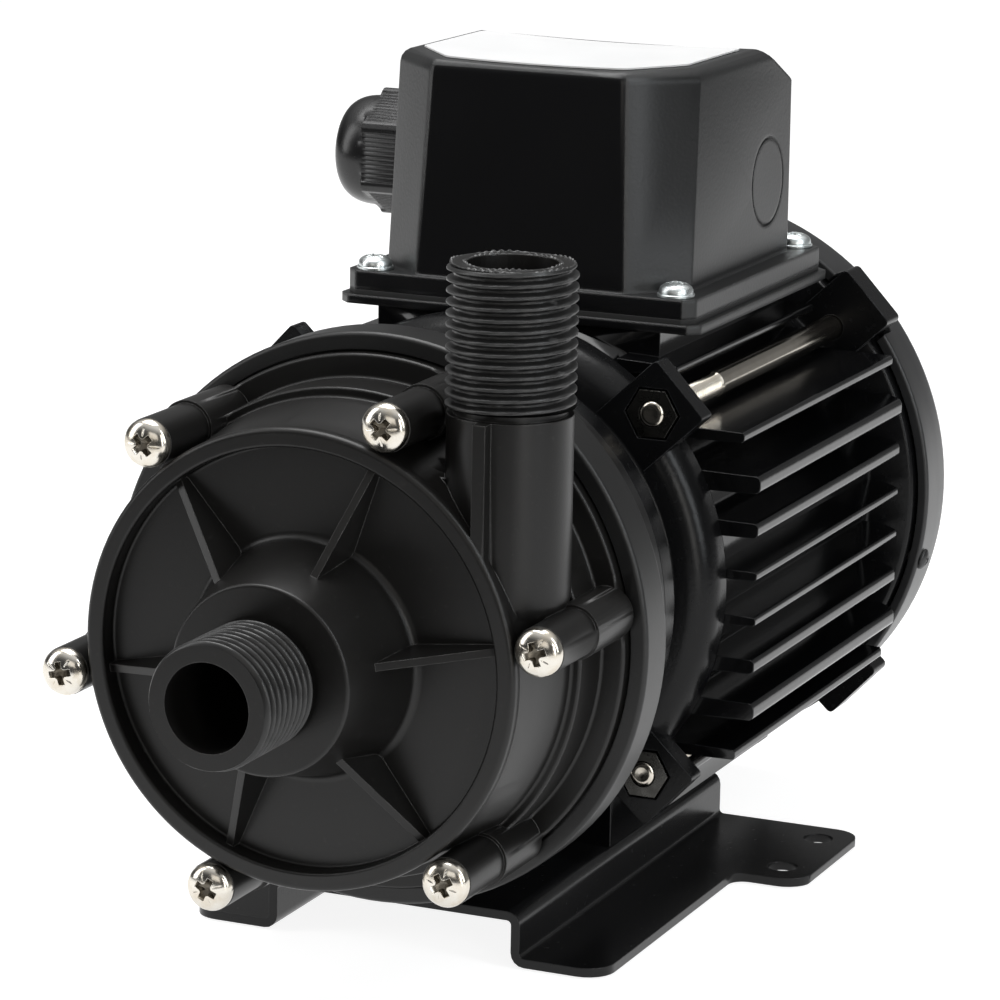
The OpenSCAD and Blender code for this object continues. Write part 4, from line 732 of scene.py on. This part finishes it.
INNER = {
    "rear_casing": ("can_plastic", plain_moulding), "impeller": ("impeller_plastic", plain_moulding),
    "spindle": ("ceramic", ceramic), "thrust_ring": ("ceramic", ceramic),
    "impeller_bush": ("bush_carbon", carbon),
    "impeller_magnet": ("magnet", ferrite), "drive_magnets": ("magnet", ferrite),
    "drive_hub": ("hub_steel", ground_steel), "hub_grub_screw": ("hub_steel", ground_steel),
    "bracket_screws": ("inner_screw", zinc), "base_screws": ("inner_screw", zinc),
    "box_base_screws": ("inner_screw", zinc),
    "stator_core": ("lamination", laminations), "rotor_core": ("lamination", laminations),
    "stator_windings": ("copper", copper), "motor_shaft": ("shaft_steel", ground_steel),
    "front_bearing": ("bearing_steel", ground_steel), "rear_bearing": ("bearing_steel", ground_steel),
    "wave_washer": ("bearing_steel", ground_steel),
    "terminal_block": ("block_plastic", block_plastic), "run_capacitor": ("capacitor_can", can_plastic),
}
for node, (slot, finish) in INNER.items():
    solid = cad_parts[node]
    solid.data.materials.clear()
    solid.data.materials.append(finish)


# Studio: a sheet of white paper as the floor, which ends shortly before and to the right of the object, a white
# backdrop, and soft boxes whose edges show in the enamel. Camera, mirror-like and see-through rays show the paper
# white, and it keeps the object's shadow.
FLOOR_FAR, FLOOR_FRONT, FLOOR_RIGHT, FLOOR_DROP = 3.0, -0.40, 0.50, -0.0004
PAPER_GLOW = 0.88
floor_mesh = bpy.data.meshes.new("studio_floor")
floor_mesh.from_pydata(
    [(-FLOOR_FAR, FLOOR_FRONT, FLOOR_DROP), (FLOOR_RIGHT, FLOOR_FRONT, FLOOR_DROP),
     (FLOOR_RIGHT, FLOOR_FAR, FLOOR_DROP), (-FLOOR_FAR, FLOOR_FAR, FLOOR_DROP)],
    [], [(0, 1, 2, 3)],
)
floor = bpy.data.objects.new("studio_floor", floor_mesh)
bpy.context.scene.collection.objects.link(floor)
paper, sockets, wire = new_finish("white_paper")
feed(sockets, "Base Color", wire.mix(wire.noise(60.0, 3.0), rgb(0.38, 0.38, 0.38), rgb(0.40, 0.40, 0.40)))
sockets["Roughness"].default_value = 0.9
sockets["Specular IOR Level"].default_value = 0.1
sockets["Emission Color"].default_value = rgb(1, 1, 1)
seen = wire.add("ShaderNodeLightPath", out="Is Camera Ray")
for ray in ("Is Glossy Ray", "Is Transmission Ray"):
    seen = wire.math("MAXIMUM", seen, wire.add("ShaderNodeLightPath", out=ray))
feed(sockets, "Emission Strength", seen * PAPER_GLOW)
floor_mesh.materials.append(paper)

# The room round the paper: white to the camera; mirror-like faces see a pale ceiling, a faint backdrop and
# little else, as in the photograph, whose blacks are deep; all other rays get an even soft light.
CEILING, BACKDROP, DARKEST, EVEN_LIGHT = 0.8, 0.18, 0.05, 0.26
world = bpy.data.worlds.new("studio")
bpy.context.scene.world = world
world.use_nodes = True
sky = Wire(world.node_tree)
seen = sky.add("ShaderNodeLightPath", out="Is Camera Ray")
through = sky.add("ShaderNodeLightPath", out="Is Transmission Ray")
mirrored = sky.add("ShaderNodeLightPath", out="Is Glossy Ray")
heading = sky.add("ShaderNodeTexCoord", out="Generated")
up = sky.add("ShaderNodeSeparateXYZ", None, {0: heading}, out="Z")
behind = sky.add("ShaderNodeSeparateXYZ", None, {0: heading}, out="Y")
white_back = behind.between(0.05, 0.45) * (1.0 - up.between(0.2, 0.5))
room = white_back * BACKDROP + up.between(0.3, 0.95) * CEILING + DARKEST
plain = sky.math("MAXIMUM", seen, through)
strength = plain + (1.0 - plain) * (mirrored * room + (1.0 - mirrored) * EVEN_LIGHT)
background = world.node_tree.nodes["Background"].inputs
background["Color"].default_value = rgb(1, 1, 1)
feed(background, "Strength", strength)


def soft_box(name, place, aim, width, height, power, colour=(1.0, 1.0, 1.0)):
    """A rectangular lamp at a place that looks at a point."""
    lamp = bpy.data.lights.new(name, "AREA")
    lamp.shape = "RECTANGLE"
    lamp.size, lamp.size_y = width, height
    lamp.energy = power
    lamp.color = colour
    made = bpy.data.objects.new(name, lamp)
    made.location = place
    made.rotation_euler = (Vector(aim) - Vector(place)).to_track_quat("-Z", "Y").to_euler()
    bpy.context.scene.collection.objects.link(made)


MIDDLE = (0.0, 0.0, 0.08)
soft_box("top_box", (-0.15, 0.05, 0.95), MIDDLE, 0.8, 0.6, 8.3)
soft_box("left_box", (-0.75, -0.5, 0.45), MIDDLE, 0.3, 0.8, 2.6)
soft_box("right_box", (0.85, -0.25, 0.5), MIDDLE, 0.2, 0.9, 3.6, (0.93, 0.97, 1.0))
soft_box("front_fill", (0.1, -1.0, 0.35), MIDDLE, 0.5, 0.3, 0.5, (1.0, 0.96, 0.9))
soft_box("neck_strip", (0.72, -0.7, 0.25), MIDDLE, 0.16, 0.6, 1.6, (1.0, 0.98, 0.95))


# Camera: a long lens a little above the axis and to the right, as the photograph was taken. The target is where
# the centre of the casing's front rim falls in the picture, and the distance is to it, in mm.
AZIMUTH, ELEVATION, ROLL = 23.399, 12.81, 1.056
FOCAL_PX, TARGET_U, TARGET_V, DISTANCE = 4430.157, 295.212, 662.477, 709.531
FRAME_PX, SENSOR = 1000.0, 36.0
a, e, r = (math.radians(x) for x in (AZIMUTH, ELEVATION, ROLL))
back = np.array([math.sin(a) * math.cos(e), -math.cos(a) * math.cos(e), math.sin(e)])
right = np.array([math.cos(a), math.sin(a), 0.0])
tilt = np.array([[math.cos(r), math.sin(r), 0], [-math.sin(r), math.cos(r), 0], [0, 0, 1]])
axes = tilt @ np.array([right, np.cross(back, right), back])
shift = np.array([
    (TARGET_U - FRAME_PX / 2) * DISTANCE / FOCAL_PX, -(TARGET_V - FRAME_PX / 2) * DISTANCE / FOCAL_PX, -DISTANCE
])
eye = (-axes.T @ shift + RIM_CENTRE) / 1000
pose = np.eye(4)
pose[:3, :3] = axes.T
pose[:3, 3] = eye
lens = bpy.data.cameras.new("camera")
lens.sensor_width = SENSOR
lens.lens = FOCAL_PX / FRAME_PX * SENSOR
lens.clip_start, lens.clip_end = 0.01, 50.0
camera = bpy.data.objects.new("camera", lens)
camera.matrix_world = Matrix(pose.tolist())
bpy.context.scene.collection.objects.link(camera)
bpy.context.scene.camera = camera
bpy.context.scene.view_settings.view_transform = "Standard"
